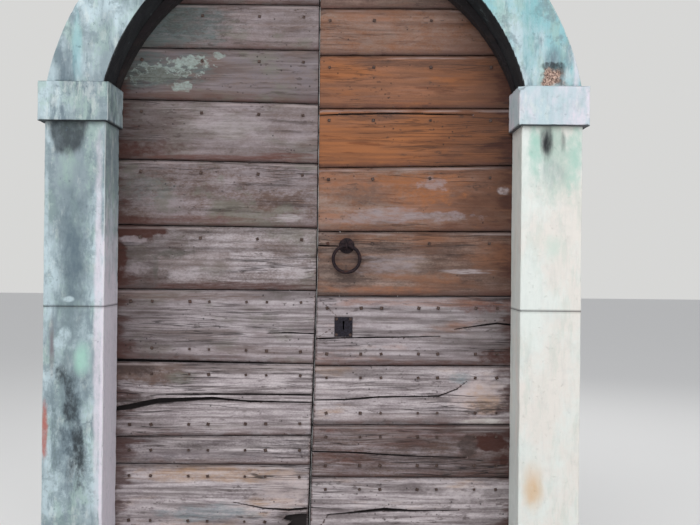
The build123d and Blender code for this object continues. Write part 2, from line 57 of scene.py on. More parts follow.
Colour = tuple[float, float, float, float]
Point = tuple[float, float, float]
Pair = tuple[float, float]
Layer = Callable[[float, float, float, float], NodeSocket]


class Tone(Enum):
    """The colours of the door's finishes, as red, green and blue from 0 to 255."""

    BONE = (204, 194, 196)
    SILVER = (182, 173, 176)
    PALE_PINK = (190, 174, 172)
    GREY_MAUVE = (150, 139, 142)
    DIM_MAUVE = (120, 111, 115)
    GREY_BROWN = (118, 104, 101)
    DRIED_BROWN = (98, 78, 70)
    DEEP_BROWN = (58, 45, 42)
    NEAR_BLACK = (28, 21, 22)
    RUSSET = (146, 98, 72)
    PINK_BROWN = (142, 118, 108)
    ORANGE = (156, 96, 54)
    FAWN = (150, 128, 118)
    UMBER = (80, 50, 36)
    AMBER = (128, 86, 62)
    DARK_RED = (62, 30, 22)
    MOSS_BLACK = (74, 72, 66)
    DARK_SEAM = (44, 30, 28)
    RED_STAIN = (94, 56, 47)
    GREEN_GREY = (86, 104, 104)
    OLIVE = (116, 114, 104)
    LICHEN = (150, 164, 158)
    OCHRE = (172, 136, 102)
    PLANK_LIGHT = (128, 108, 90)
    PLANK_DARK = (74, 58, 48)
    # Painted shade: the rim's near-black tones stand for the shade under the arch.
    RIM_SHADE_LIGHT = (30, 22, 26)
    RIM_SHADE_DARK = (20, 16, 19)
    LIMESTONE = (226, 231, 226)
    LIMESTONE_WARM = (228, 223, 216)
    LIMESTONE_GREY = (146, 160, 166)
    PALE_BLUE = (190, 208, 214)
    TURQUOISE = (148, 192, 198)
    BLUE_GREY = (96, 112, 122)
    STONE_GREEN = (162, 188, 176)
    STONE_TEAL = (112, 170, 174)
    STONE_BLACK = (56, 62, 66)
    STONE_RED = (176, 96, 84)
    STONE_ORANGE = (208, 168, 116)
    SLATE = (118, 134, 140)
    # Near-black: soot stains, and painted shade under the stones and in the arch's soffit.
    SOOT_AND_SHADE = (20, 15, 21)
    MINT = (164, 206, 192)
    LILAC = (226, 218, 228)
    SPALL_BROWN = (206, 176, 160)
    IRON_BLACK = (24, 19, 24)
    IRON_BROWN = (50, 36, 39)
    IRON_BLUE = (42, 40, 50)
    NAIL_BROWN = (64, 50, 46)
    NAIL_GREY = (96, 80, 74)
    RUST = (86, 52, 42)
    FLOOR = (236, 235, 232)

    def linear(self) -> Colour:
        """Turn the tone into the linear colour that a shader's socket takes.

        Returns:
            Red, green, blue and alpha, from 0 to 1.
        """
        levels = [level / 255 for level in self.value]
        red, green, blue = (
            level / 12.92 if level <= 0.04045 else ((level + 0.055) / 1.055) ** 2.4 for level in levels
        )
        return (red, green, blue, 1.0)


class Grain(Enum):
    """The way a timber's fibres run, as the axis along them."""

    ACROSS = 0
    UPRIGHT = 2


class Side(Enum):
    """The side that a leaf hangs on, as seen from the street."""

    LEFT = "left"
    RIGHT = "right"


class Facing(Enum):
    """The way that a board's visible face looks, as its direction along Y."""

    STREET = -1.0
    ROOM = 1.0


# The numbers of a Mix node's two colours and of its mixed colour, which share their names with others.
MIX_UNDER, MIX_OVER, MIX_RESULT = 6, 7, 2


class Graph:
    """The node tree of one finish, with a short call for each kind of node that the finishes use."""

    def __init__(self, name: str) -> None:
        """Make an empty material around its shader.

        Args:
            name: The material's name.
        """
        self.material = bpy.data.materials.new(name)
        self.material.use_nodes = True
        self.tree = self.material.node_tree
        self.shader = self.tree.nodes["Principled BSDF"]
        self.place = self.tree.nodes.new("ShaderNodeTexCoord").outputs["Object"]

    def node(self, kind: str, inputs: dict[str | int, object], **settings: object) -> ShaderNode:
        """Add a node.

        Args:
            kind: The node's type.
            inputs: Values, tones or sockets for its inputs, by name or number.
            settings: The node's own properties.

        Returns:
            The new node.
        """
        made = self.tree.nodes.new(kind)
        for key, value in settings.items():
            setattr(made, key, value)
        for key, value in inputs.items():
            if isinstance(value, NodeSocket):
                self.tree.links.new(value, made.inputs[key])
            else:
                made.inputs[key].default_value = value.linear() if isinstance(value, Tone) else value
        return made

    def math(self, operation: str, first: object, second: object = 0.0) -> NodeSocket:
        """Join two values by a sum of that kind, and return the result's socket."""
        return self.node("ShaderNodeMath", {0: first, 1: second}, operation=operation).outputs[0]

    def plus(self, first: object, second: object) -> NodeSocket:
        """Add two values, and return the sum's socket."""
        return self.math("ADD", first, second)

    def minus(self, first: object, second: object) -> NodeSocket:
        """Take the second value from the first, and return the difference's socket."""
        return self.math("SUBTRACT", first, second)

    def times(self, first: object, second: object) -> NodeSocket:
        """Multiply two values, and return the product's socket."""
        return self.math("MULTIPLY", first, second)

    def stretch(self, vector: NodeSocket, by: Sequence[float]) -> NodeSocket:
        """Multiply a place by a factor for each axis, and return its socket."""
        return self.node("ShaderNodeVectorMath", {0: vector, 1: by}, operation="MULTIPLY").outputs[0]

    def moved(self, vector: NodeSocket, by: object) -> NodeSocket:
        """Add a vector to a place, and return its socket."""
        return self.node("ShaderNodeVectorMath", {0: vector, 1: by}, operation="ADD").outputs[0]

    def noise(
        self, vector: NodeSocket, scale: float = 1.0, detail: float = 3.0, roughness: float = 0.55
    ) -> NodeSocket:
        """Add a cloud noise.

        Args:
            vector: The place that it reads.
            scale: Its clouds for each unit of length.
            detail: Its octaves.
            roughness: How strong the finer octaves are.

        Returns:
            The value's socket, around 0.5.
        """
        values = {"Vector": vector, "Scale": scale, "Detail": detail, "Roughness": roughness}
        return self.node("ShaderNodeTexNoise", values).outputs[0]

    def drawn(self, vector: NodeSocket, by: Sequence[float], detail: float, roughness: float) -> NodeSocket:
        """Add a cloud noise that is drawn out or pressed together along each axis.

        Args:
            vector: The place that it reads.
            by: Its clouds for each metre along the three axes.
            detail: Its octaves.
            roughness: How strong the finer octaves are.

        Returns:
            The value's socket, around 0.5.
        """
        return self.noise(self.stretch(vector, by), 1.0, detail, roughness)

    def ramp(self, value: NodeSocket, low: float, high: float) -> NodeSocket:
        """Turn a value into 0 below one level and 1 above another, with a soft step between.

        Args:
            value: The value.
            low: The level up to which it is 0.
            high: The level from which it is 1.

        Returns:
            The result's socket.
        """
        values = {"Value": value, "From Min": low, "From Max": high}
        made = self.node("ShaderNodeMapRange", values, interpolation_type="SMOOTHSTEP")
        return made.outputs["Result"]

    def mix(self, share: object, under: object, over: object, blend: str = "MIX") -> NodeSocket:
        """Lay one colour over another.

        Args:
            share: How much of the upper colour shows, from 0 to 1.
            under: The lower colour.
            over: The upper colour.
            blend: How they join.

        Returns:
            The colour's socket.
        """
        values = {"Factor": share, MIX_UNDER: under, MIX_OVER: over}
        made = self.node("ShaderNodeMix", values, data_type="RGBA", blend_type=blend)
        return made.outputs[MIX_RESULT]

    def wander(self, amount: float, by: Point, axis: int) -> NodeSocket:
        """Make a place whose third direction wanders, as fibres do round knots.

        Args:
            amount: How far it wanders, in metres.
            by: The stretch of the wandering.
            axis: The direction across the fibres.

        Returns:
            The place's socket.
        """
        swing = self.drawn(self.place, by, 2.0, 0.55)
        shift = self.times(self.minus(swing, 0.5), amount)
        joined = self.node("ShaderNodeCombineXYZ", {axis: shift}).outputs[0]
        return self.moved(self.place, joined)

    def line(self, value: NodeSocket, width: float) -> NodeSocket:
        """Turn the middle level of a noise into thin lines, 1 on the line."""
        away = self.math("ABSOLUTE", self.minus(value, 0.5))
        return self.minus(1.0, self.ramp(away, width * 0.4, width))

    def patch(self, stain: "Stain", front: float) -> NodeSocket:
        """Mark a stain's place.

        Args:
            stain: The stain.
            front: Where the stained face lies along Y.

        Returns:
            The socket of a value that is 1 inside, with a ragged edge.
        """
        across, up = stain.radii
        middle = (stain.centre[0], front, stain.centre[1])
        centred = self.node("ShaderNodeMapping", {"Vector": self.place, "Location": [-c for c in middle]})
        scaled = self.stretch(centred.outputs[0], (1 / across, 1 / stain.reach, 1 / up))
        length = self.node("ShaderNodeVectorMath", {0: scaled}, operation="LENGTH").outputs["Value"]
        rag = self.drawn(self.place, stain.grain, 4.0, 0.62)
        torn = self.times(self.minus(rag, 0.5), stain.ragged)
        inside = self.minus(1.0, self.plus(length, torn))
        mark = self.ramp(inside, 0.0, stain.softness)
        fine = self.drawn(self.place, [2.6 * factor for factor in stain.grain], 5.0, 0.7)
        holes = self.times(self.ramp(fine, 0.32, 0.62), 1.0 - stain.solid)
        broken = self.plus(holes, stain.solid)
        return self.times(self.times(mark, broken), stain.strength)

    def aside(self) -> NodeSocket:
        """How far a place lies to the side of the door's middle, in metres, as a socket."""
        axes = self.node("ShaderNodeSeparateXYZ", {0: self.place})
        return self.math("ABSOLUTE", axes.outputs[0])

    def attribute(self, name: str) -> NodeSocket:
        """The value of a mesh attribute, as a socket."""
        return self.node("ShaderNodeAttribute", {}, attribute_name=name).outputs["Fac"]

    def finish(
        self, colour: NodeSocket, rough: NodeSocket, height: NodeSocket, depth: float, strength: float = 1.0
    ) -> Material:
        """Link the finish to its shader.

        Args:
            colour: The base colour.
            rough: The roughness.
            height: The height of the fine relief, from 0 to 1.
            depth: The relief's depth in metres.
            strength: How much of it shows.

        Returns:
            The finished material.
        """
        relief = {"Height": height, "Distance": depth, "Strength": strength}
        bump = self.node("ShaderNodeBump", relief)
        self.tree.links.new(colour, self.shader.inputs["Base Color"])
        self.tree.links.new(rough, self.shader.inputs["Roughness"])
        self.tree.links.new(bump.outputs[0], self.shader.inputs["Normal"])
        return self.material


@dataclass(frozen=True)
class Stain:
    """A stained place on an upright face, with a ragged edge and holes in its middle.

    Its middle and radii are in metres, as X and Z, and its reach is its radius along Y. The grain is how
    fine its pattern is along each axis, and the solid share is how much of it shows in its holes.
    """

    centre: Pair
    radii: Pair
    tone: Tone
    strength: float = 0.8
    ragged: float = 1.6
    softness: float = 0.5
    grain: Point = (9.0, 9.0, 30.0)
    solid: float = 0.25
    reach: float = 0.2


@dataclass(frozen=True)
class TimberFinish:
    """Weathered timber: silvered on its high fibres, brown in the hollows, with drying checks.

    Warmth, checks, streaks, moss, marks, worm, bleach and shade are how much of each shows, from 0 to 1,
    and the shade lies at the hinge edge. The contrast is half the step between the dark and the light
    tone: the smaller, the harder. The seed is where its patterns start, and the front is where its
    stained face lies along Y.
    """

    light: Tone
    dark: Tone
    warm: Tone = Tone.RUSSET
    warmth: float = 0.2
    contrast: float = 0.09
    checks: float = 0.6
    streaks: float = 0.3
    moss: float = 0.0
    marks: float = 0.55
    worm: float = 0.7
    bleach: float = 0.2
    shade: float = 0.0
    shade_tone: Tone = Tone.DEEP_BROWN
    grain: Grain = Grain.ACROSS
    seed: float = 0.0
    stains: tuple[Stain, ...] = ()
    roughness: float = 0.86
    front: float = 0.041

    def along(self, fibre: float, side: float, across: float) -> Point:
        """Put factors in the order of the axes.

        Args:
            fibre: The factor along the fibres.
            side: The factor through the board.
            across: The factor across the fibres.

        Returns:
            The factors for X, Y and Z.
        """
        if self.grain is Grain.ACROSS:
            return (fibre, side, across)
        return (across, side, fibre)

    def material(self, name: str) -> Material:
        """Build the finish.

        Args:
            name: The material's name.

        Returns:
            The material.
        """
        graph = Graph(name)
        layer = self.layers(graph)
        broad = layer(2.5, 20.0, 3.0, 0.6)
        streak = layer(6.5, 90.0, 5.0, 0.68)
        fibre = layer(34.0, 430.0, 3.0, 0.6)
        mottle = layer(12.0, 27.0, 6.0, 0.7)
        speckle = layer(120.0, 210.0, 3.0, 0.6)
        cloudy = layer(7.0, 10.0, 5.0, 0.62)
        soft = 0.6 - self.streaks
        parts = [(0.12, broad), (self.streaks, streak), (0.1, fibre)]
        parts += [(0.55 * soft, mottle), (0.45 * soft, cloudy), (0.18, speckle)]
        colour = self.toned(graph, self.blended(graph, parts), layer)
        colour = self.marked(graph, self.weathered(graph, colour, layer), layer)
        for stain in self.stains:
            colour = graph.mix(graph.patch(stain, self.front), colour, stain.tone)
        crack = layer(1.9, 66.0, 3.0, 0.5)
        where = graph.ramp(layer(1.6, 8.0, 2.0, 0.5), 0.5, 0.6)
        check = graph.times(graph.times(graph.line(crack, 0.02), where), self.checks)
        colour = self.seamed(graph, colour, broad, mottle, cloudy)
        colour = graph.mix(graph.attribute("rust"), colour, Tone.DEEP_BROWN)
        colour = graph.mix(check, colour, Tone.NEAR_BLACK)
        # Painted shade: places deep behind the visible face, in splits and gaps, are painted near-black.
        colour = graph.mix(graph.attribute("deep"), colour, Tone.NEAR_BLACK)
        relief = self.blended(graph, ((0.45, streak), (0.35, fibre), (0.1, mottle), (0.1, speckle)))
        relief = graph.minus(relief, graph.times(check, 0.5))
        rough = graph.plus(graph.times(streak, 0.16), self.roughness - 0.08)
        return graph.finish(colour, rough, relief, 0.003)

    def layers(self, graph: Graph) -> Layer:
        """Make the call that draws noises out along the fibres, which wander as round knots.

        Args:
            graph: The node tree.

        Returns:
            The call: from the clouds for each metre along and across the fibres, the octaves and how
            strong the finer ones are, it makes the noise's socket.
        """
        across_axis = 2 if self.grain is Grain.ACROSS else 0
        start = graph.wander(0.04, self.along(2.2, 1.0, 5.0), across_axis)
        fibres = graph.moved(start, (self.seed * 3.7, self.seed, self.seed * 1.3))

        def layer(fibre: float, across: float, octaves: float, sharp: float) -> NodeSocket:
            """Add one noise that is drawn out along the fibres, and return its socket."""
            return graph.drawn(fibres, self.along(fibre, 6.0, across), octaves, sharp)

        return layer

    def toned(self, graph: Graph, level: NodeSocket, layer: Layer) -> NodeSocket:
        """Mix the dark and the light tone, with moss and warm places over them.

        Args:
            graph: The node tree.
            level: How light the timber is, around 0.5.
            layer: Makes a noise along the fibres.

        Returns:
            The colour's socket.
        """
        tone = graph.ramp(level, 0.5 - self.contrast, 0.5 + self.contrast)
        colour = graph.mix(tone, self.dark, self.light)
        moss = graph.times(graph.ramp(layer(5.0, 9.0, 5.0, 0.66), 0.5, 0.62), self.moss)
        colour = graph.mix(moss, colour, Tone.OLIVE)
        heat = layer(3.4, 13.0, 5.0, 0.62)
        warm = graph.ramp(heat, 0.62 - 0.4 * self.warmth, 0.86 - 0.4 * self.warmth)
        return graph.mix(graph.times(warm, 0.8), colour, self.warm)

    def weathered(self, graph: Graph, colour: NodeSocket, layer: Layer) -> NodeSocket:
        """Darken the hollows, paint shade at the hinge edge, and bleach the ridges.

        Args:
            graph: The node tree.
            colour: The timber's colour.
            layer: Makes a noise along the fibres.

        Returns:
            The weathered colour's socket.
        """
        hollow = graph.attribute("hollow")
        colour = graph.mix(graph.times(hollow, 0.6), colour, Tone.DEEP_BROWN)
        grime = graph.ramp(layer(4.5, 46.0, 5.0, 0.66), 0.55, 0.68)
        colour = graph.mix(graph.times(grime, 0.5), colour, self.dark, "MULTIPLY")
        if self.bleach > 0.0:
            ridge = graph.ramp(layer(5.0, 150.0, 4.0, 0.6), 0.52, 0.66)
            patch = graph.ramp(layer(2.6, 9.0, 3.0, 0.6), 0.42, 0.6)
            share = graph.times(graph.times(ridge, patch), self.bleach)
            colour = graph.mix(share, colour, Tone.BONE)
        # Painted shade: the boards darken towards the hinge edge by the jamb, with a dark red band at the
        # very edge.
        if self.shade > 0.0:
            aside = self.blended(graph, ((1.0, graph.aside()), (0.5, layer(4.0, 16.0, 5.0, 0.65))))
            edge = graph.times(graph.ramp(aside, 0.56, 1.08), self.shade)
            colour = graph.mix(edge, colour, self.shade_tone)
            border = graph.times(graph.ramp(aside, 0.94, 1.02), 0.8)
            colour = graph.mix(border, colour, Tone.DARK_RED)
        return colour

    def marked(self, graph: Graph, colour: NodeSocket, layer: Layer) -> NodeSocket:
        """Add short dark marks along the fibres and the holes of woodworm.

        Args:
            graph: The node tree.
            colour: The timber's colour.
            layer: Makes a noise along the fibres.

        Returns:
            The marked colour's socket.
        """
        where = graph.ramp(layer(5.0, 10.0, 3.0, 0.6), 0.46, 0.58)
        dash = graph.ramp(layer(26.0, 75.0, 4.0, 0.62), 0.57, 0.66)
        share = graph.times(graph.times(dash, where), self.marks)
        colour = graph.mix(share, colour, Tone.DEEP_BROWN)
        spread = {"Vector": graph.place, "Scale": 34.0}
        away = graph.node("ShaderNodeTexVoronoi", spread).outputs["Distance"]
        hole = graph.minus(1.0, graph.ramp(away, 0.08, 0.15))
        holes = graph.times(graph.times(hole, where), self.worm)
        return graph.mix(holes, colour, Tone.NEAR_BLACK)

    def seamed(
        self, graph: Graph, colour: NodeSocket, broad: NodeSocket, mottle: NodeSocket, cloudy: NodeSocket
    ) -> NodeSocket:
        """Redden a board's damp foot, lighten its upper lip and darken its seams.

        Args:
            graph: The node tree.
            colour: The timber's colour.
            broad: The noise that breaks up the lip.
            mottle: The noise that breaks up the damp.
            cloudy: The noise that breaks up the seams.

        Returns:
            The colour's socket.
        """
        foot, head = graph.attribute("foot"), graph.attribute("head")
        damp = graph.times(foot, graph.ramp(mottle, 0.4, 0.56))
        colour = graph.mix(graph.times(damp, 0.75), colour, Tone.RED_STAIN)
        lip = graph.minus(graph.ramp(head, 0.25, 0.5), graph.ramp(head, 0.6, 0.8))
        lip = graph.times(lip, graph.ramp(broad, 0.42, 0.6))
        colour = graph.mix(graph.times(lip, 0.45), colour, Tone.PALE_PINK)
        seam = graph.math("POWER", graph.math("MAXIMUM", foot, head), 2.0)
        seam = graph.times(seam, graph.ramp(cloudy, 0.2, 0.5))
        return graph.mix(graph.times(seam, 0.95), colour, Tone.DARK_SEAM)

    @staticmethod
    def blended(graph: Graph, parts: Iterable[tuple[float, NodeSocket]]) -> NodeSocket:
        """Add values, each by its share.

        Args:
            graph: The node tree.
            parts: Each share with its value.

        Returns:
            The sum's socket.
        """
        total: object = 0.0
        for share, part in parts:
            total = graph.plus(graph.times(part, share), total)
        return total


@dataclass(frozen=True)
class StoneFinish:
    """Weathered limestone: pale, with upright runs of rain and dirt, and stains at their places.

    The runs, the dirt and the washed places show by their shares, from 0 to 1. The seed is where its
    patterns start, and the front is where its stained face lies along Y.
    """

    base: Tone
    second: Tone
    runs: Tone
    run_share: float = 0.5
    seed: float = 0.0
    stains: tuple[Stain, ...] = ()
    dirt: float = 1.0
    washed: float = 0.7
    front: float = -0.135

    def material(self, name: str) -> Material:
        """Build the finish.

        Args:
            name: The material's name.

        Returns:
            The material.
        """
        graph = Graph(name)
        start = graph.moved(graph.place, (self.seed, self.seed * 2.3, self.seed * 0.7))
        blotch = graph.noise(start, 14.0, 7.0, 0.7)
        grit = graph.noise(start, 170.0, 5.0, 0.7)
        pit = graph.noise(start, 60.0, 4.0, 0.7)
        colour = self.rained(graph, start)
        dirt = graph.times(graph.ramp(blotch, 0.5, 0.62), 0.6 * self.dirt)
        colour = graph.mix(dirt, colour, Tone.SLATE)
        white = graph.drawn(start, (30.0, 30.0, 11.0), 7.0, 0.72)
        bright = graph.times(graph.ramp(white, 0.53, 0.64), self.washed)
        colour = graph.mix(bright, colour, Tone.LIMESTONE)
        for stain in self.stains:
            colour = graph.mix(graph.patch(stain, self.front), colour, stain.tone)
        speck = graph.ramp(pit, 0.62, 0.72)
        colour = graph.mix(graph.times(speck, 0.5 * self.dirt), colour, Tone.BLUE_GREY)
        arris = graph.times(graph.attribute("arris"), graph.ramp(blotch, 0.3, 0.55))
        colour = graph.mix(graph.times(arris, 0.6), colour, Tone.LIMESTONE)
        torn = graph.mix(graph.ramp(grit, 0.42, 0.58), Tone.DRIED_BROWN, Tone.SPALL_BROWN)
        colour = graph.mix(graph.attribute("broken"), colour, torn)
        # Painted shade with soot: undersides and the arch's soffit are painted near-black, some dirt on top
        # faces.
        soot_and_shade = graph.times(graph.attribute("soot_and_shade"), graph.ramp(blotch, 0.1, 0.42))
        colour = graph.mix(graph.times(soot_and_shade, 0.96), colour, Tone.SOOT_AND_SHADE)
        relief = graph.minus(graph.times(grit, 0.5), graph.times(speck, 0.4))
        relief = graph.plus(relief, graph.times(blotch, 0.4))
        rough = graph.plus(graph.times(blotch, 0.2), 0.74)
        graph.shader.inputs["Specular IOR Level"].default_value = 0.3
        return graph.finish(colour, rough, relief, 0.0025)

    def rained(self, graph: Graph, start: NodeSocket) -> NodeSocket:
        """Mix the stone's two tones, with green patches and upright runs of rain over them.

        Args:
            graph: The node tree.
            start: The place that the patterns read.

        Returns:
            The colour's socket.
        """
        veil = graph.drawn(start, (5.0, 5.0, 3.0), 5.0, 0.64)
        patch = graph.drawn(start, (17.0, 17.0, 8.0), 7.0, 0.7)
        run = graph.drawn(start, (24.0, 24.0, 5.5), 6.0, 0.68)
        thin = graph.drawn(start, (70.0, 70.0, 9.0), 5.0, 0.64)
        colour = graph.mix(graph.ramp(veil, 0.4, 0.6), self.base, self.second)
        tint = graph.times(graph.ramp(patch, 0.48, 0.6), 0.5 * self.dirt)
        colour = graph.mix(tint, colour, Tone.STONE_GREEN)
        drip = graph.times(graph.ramp(run, 0.49, 0.62), graph.ramp(veil, 0.32, 0.56))
        colour = graph.mix(graph.times(drip, self.run_share), colour, self.runs)
        faint = graph.times(graph.ramp(thin, 0.5, 0.64), 0.25 * self.run_share)
        return graph.mix(faint, colour, Tone.BLUE_GREY)


@dataclass(frozen=True)
class IronFinish:
    """Forged iron, blackened, with rust in patches and hammer marks.

    It rusts where a noise around 0.5 is above the rust level.
    """

    dark: Tone = Tone.IRON_BLACK
    brown: Tone = Tone.IRON_BROWN
    rust_level: float = 0.55

    def material(self, name: str) -> Material:
        """Build the finish.

        Args:
            name: The material's name.

        Returns:
            The material.
        """
        graph = Graph(name)
        blow = graph.noise(graph.place, 70.0, 2.0, 0.4)
        scale = graph.noise(graph.place, 190.0, 5.0, 0.7)
        bloom = graph.noise(graph.place, 34.0, 5.0, 0.65)
        colour = graph.mix(graph.ramp(scale, 0.4, 0.62), self.dark, self.brown)
        rust = graph.ramp(bloom, self.rust_level, self.rust_level + 0.14)
        colour = graph.mix(graph.times(rust, 0.75), colour, Tone.RUST)
        rough = graph.plus(graph.times(rust, 0.2), 0.64)
        relief = graph.plus(graph.times(blow, 0.6), graph.times(scale, 0.4))
        graph.shader.inputs["Metallic"].default_value = 0.15
        graph.shader.inputs["Specular IOR Level"].default_value = 0.2
        return graph.finish(colour, rough, relief, 0.0016)


@dataclass(frozen=True)
class GroundFinish:
    """The studio's floor and backdrop: pale and plain."""

    tone: Tone = Tone.FLOOR

    def material(self, name: str) -> Material:
        """Build the finish, with a faint unevenness of its shine.

        Args:
            name: The material's name.

        Returns:
            The material.
        """
        graph = Graph(name)
        uneven = graph.noise(graph.place, 3.0, 3.0)
        colour = graph.mix(graph.times(uneven, 0.06), self.tone, (1.0, 1.0, 1.0, 1.0))
        rough = graph.plus(graph.times(uneven, 0.1), 0.8)
        return graph.finish(colour, rough, uneven, 0.0005, 0.2)


# Vertices nearer than the first are one, faces that turn by less than the second are flat, and a cut
# takes vertices nearer than the third as on it.
WELD, FLAT, ON_CUT = 2e-5, radians(0.2), 1e-5


def copy_of(node: str) -> BMesh:
    """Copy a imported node's mesh, with its triangles joined and its flat faces whole.

    Args:
        node: The node's name.

    Returns:
        The copy.
    """
    mesh = bmesh.new()
    mesh.from_mesh(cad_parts[node].data)
    bmesh.ops.remove_doubles(mesh, verts=mesh.verts[:], dist=WELD)
    bmesh.ops.dissolve_limit(mesh, angle_limit=FLAT, verts=mesh.verts[:], edges=mesh.edges[:])
    mesh.normal_update()
    return mesh


def slice_up(
    mesh: BMesh, axis: int, step: float, wanted: Callable[[BMFace], bool] | None = None
) -> None:
    """Cut a mesh into slices of about one width, so that it can take relief.

    Args:
        mesh: The mesh.
        axis: The axis that the cuts stand across.
        step: The slices' width in metres.
        wanted: Which faces are cut; all of them if it is left out.
    """
    places = [vert.co[axis] for vert in mesh.verts]
    low, high = min(places), max(places)
    count = max(1, round((high - low) / step))
    direction = Vector((0.0, 0.0, 0.0))
    direction[axis] = 1.0
    for number in range(1, count):
        point = direction * (low + (high - low) * number / count)
        if wanted is None:
            parts = mesh.verts[:] + mesh.edges[:] + mesh.faces[:]
        else:
            faces = [face for face in mesh.faces if wanted(face)]
            edges = {edge for face in faces for edge in face.edges}
            verts = {vert for face in faces for vert in face.verts}
            parts = [*verts, *edges, *faces]
        bmesh.ops.bisect_plane(mesh, geom=parts, dist=ON_CUT, plane_co=point, plane_no=direction)


def finished(
    mesh: BMesh, name: str, body: str, material: Material, slot: str, crease: float = 38.0
) -> Object:
    """Turn a mesh into an object that rides on a body.

    Args:
        mesh: The mesh, which is freed.
        name: The object's name.
        body: The body that it moves with.
        material: Its material.
        slot: The record's material slot; not used.
        crease: Edges that turn by more degrees than this stay sharp.

    Returns:
        The object.
    """
    data = bpy.data.meshes.new(name)
    mesh.to_mesh(data)
    mesh.free()
    data.shade_smooth()
    data.set_sharp_from_angle(angle=radians(crease))
    data.materials.append(material)
    piece = bpy.data.objects.new(name, data)
    bpy.context.scene.collection.objects.link(piece)
    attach(piece, body)
    return piece


def islands(mesh: BMesh) -> list[list[BMVert]]:
    """Find the separate shells of a mesh.

    Args:
        mesh: The mesh.

    Returns:
        Each shell's vertices.
    """
    shells = []
    seen: set[BMVert] = set()
    for start in mesh.verts:
        if start in seen:
            continue
        shell, front = [], [start]
        seen.add(start)
        while front:
            vert = front.pop()
            shell.append(vert)
            for edge in vert.link_edges:
                other = edge.other_vert(vert)
                if other not in seen:
                    seen.add(other)
                    front.append(other)
        shells.append(shell)
    return shells


def middle_of(shell: list[BMVert]) -> Vector:
    """The mean place of a shell's vertices."""
    return sum((vert.co for vert in shell), Vector()) / len(shell)


def cloud(x: float, y: float, z: float, octaves: int = 3) -> float:
    """A smooth noise between about -1 and 1."""
    return noise.fractal(Vector((x, y, z)), 0.8, 2.1, octaves)


@dataclass(frozen=True)
class Wear:
    """How far weather has worn a board, in metres: its ridges, its ripples and its edges."""

    ridge: float = 0.0006
    ripple: float = 0.0008
    ragged: float = 0.0012


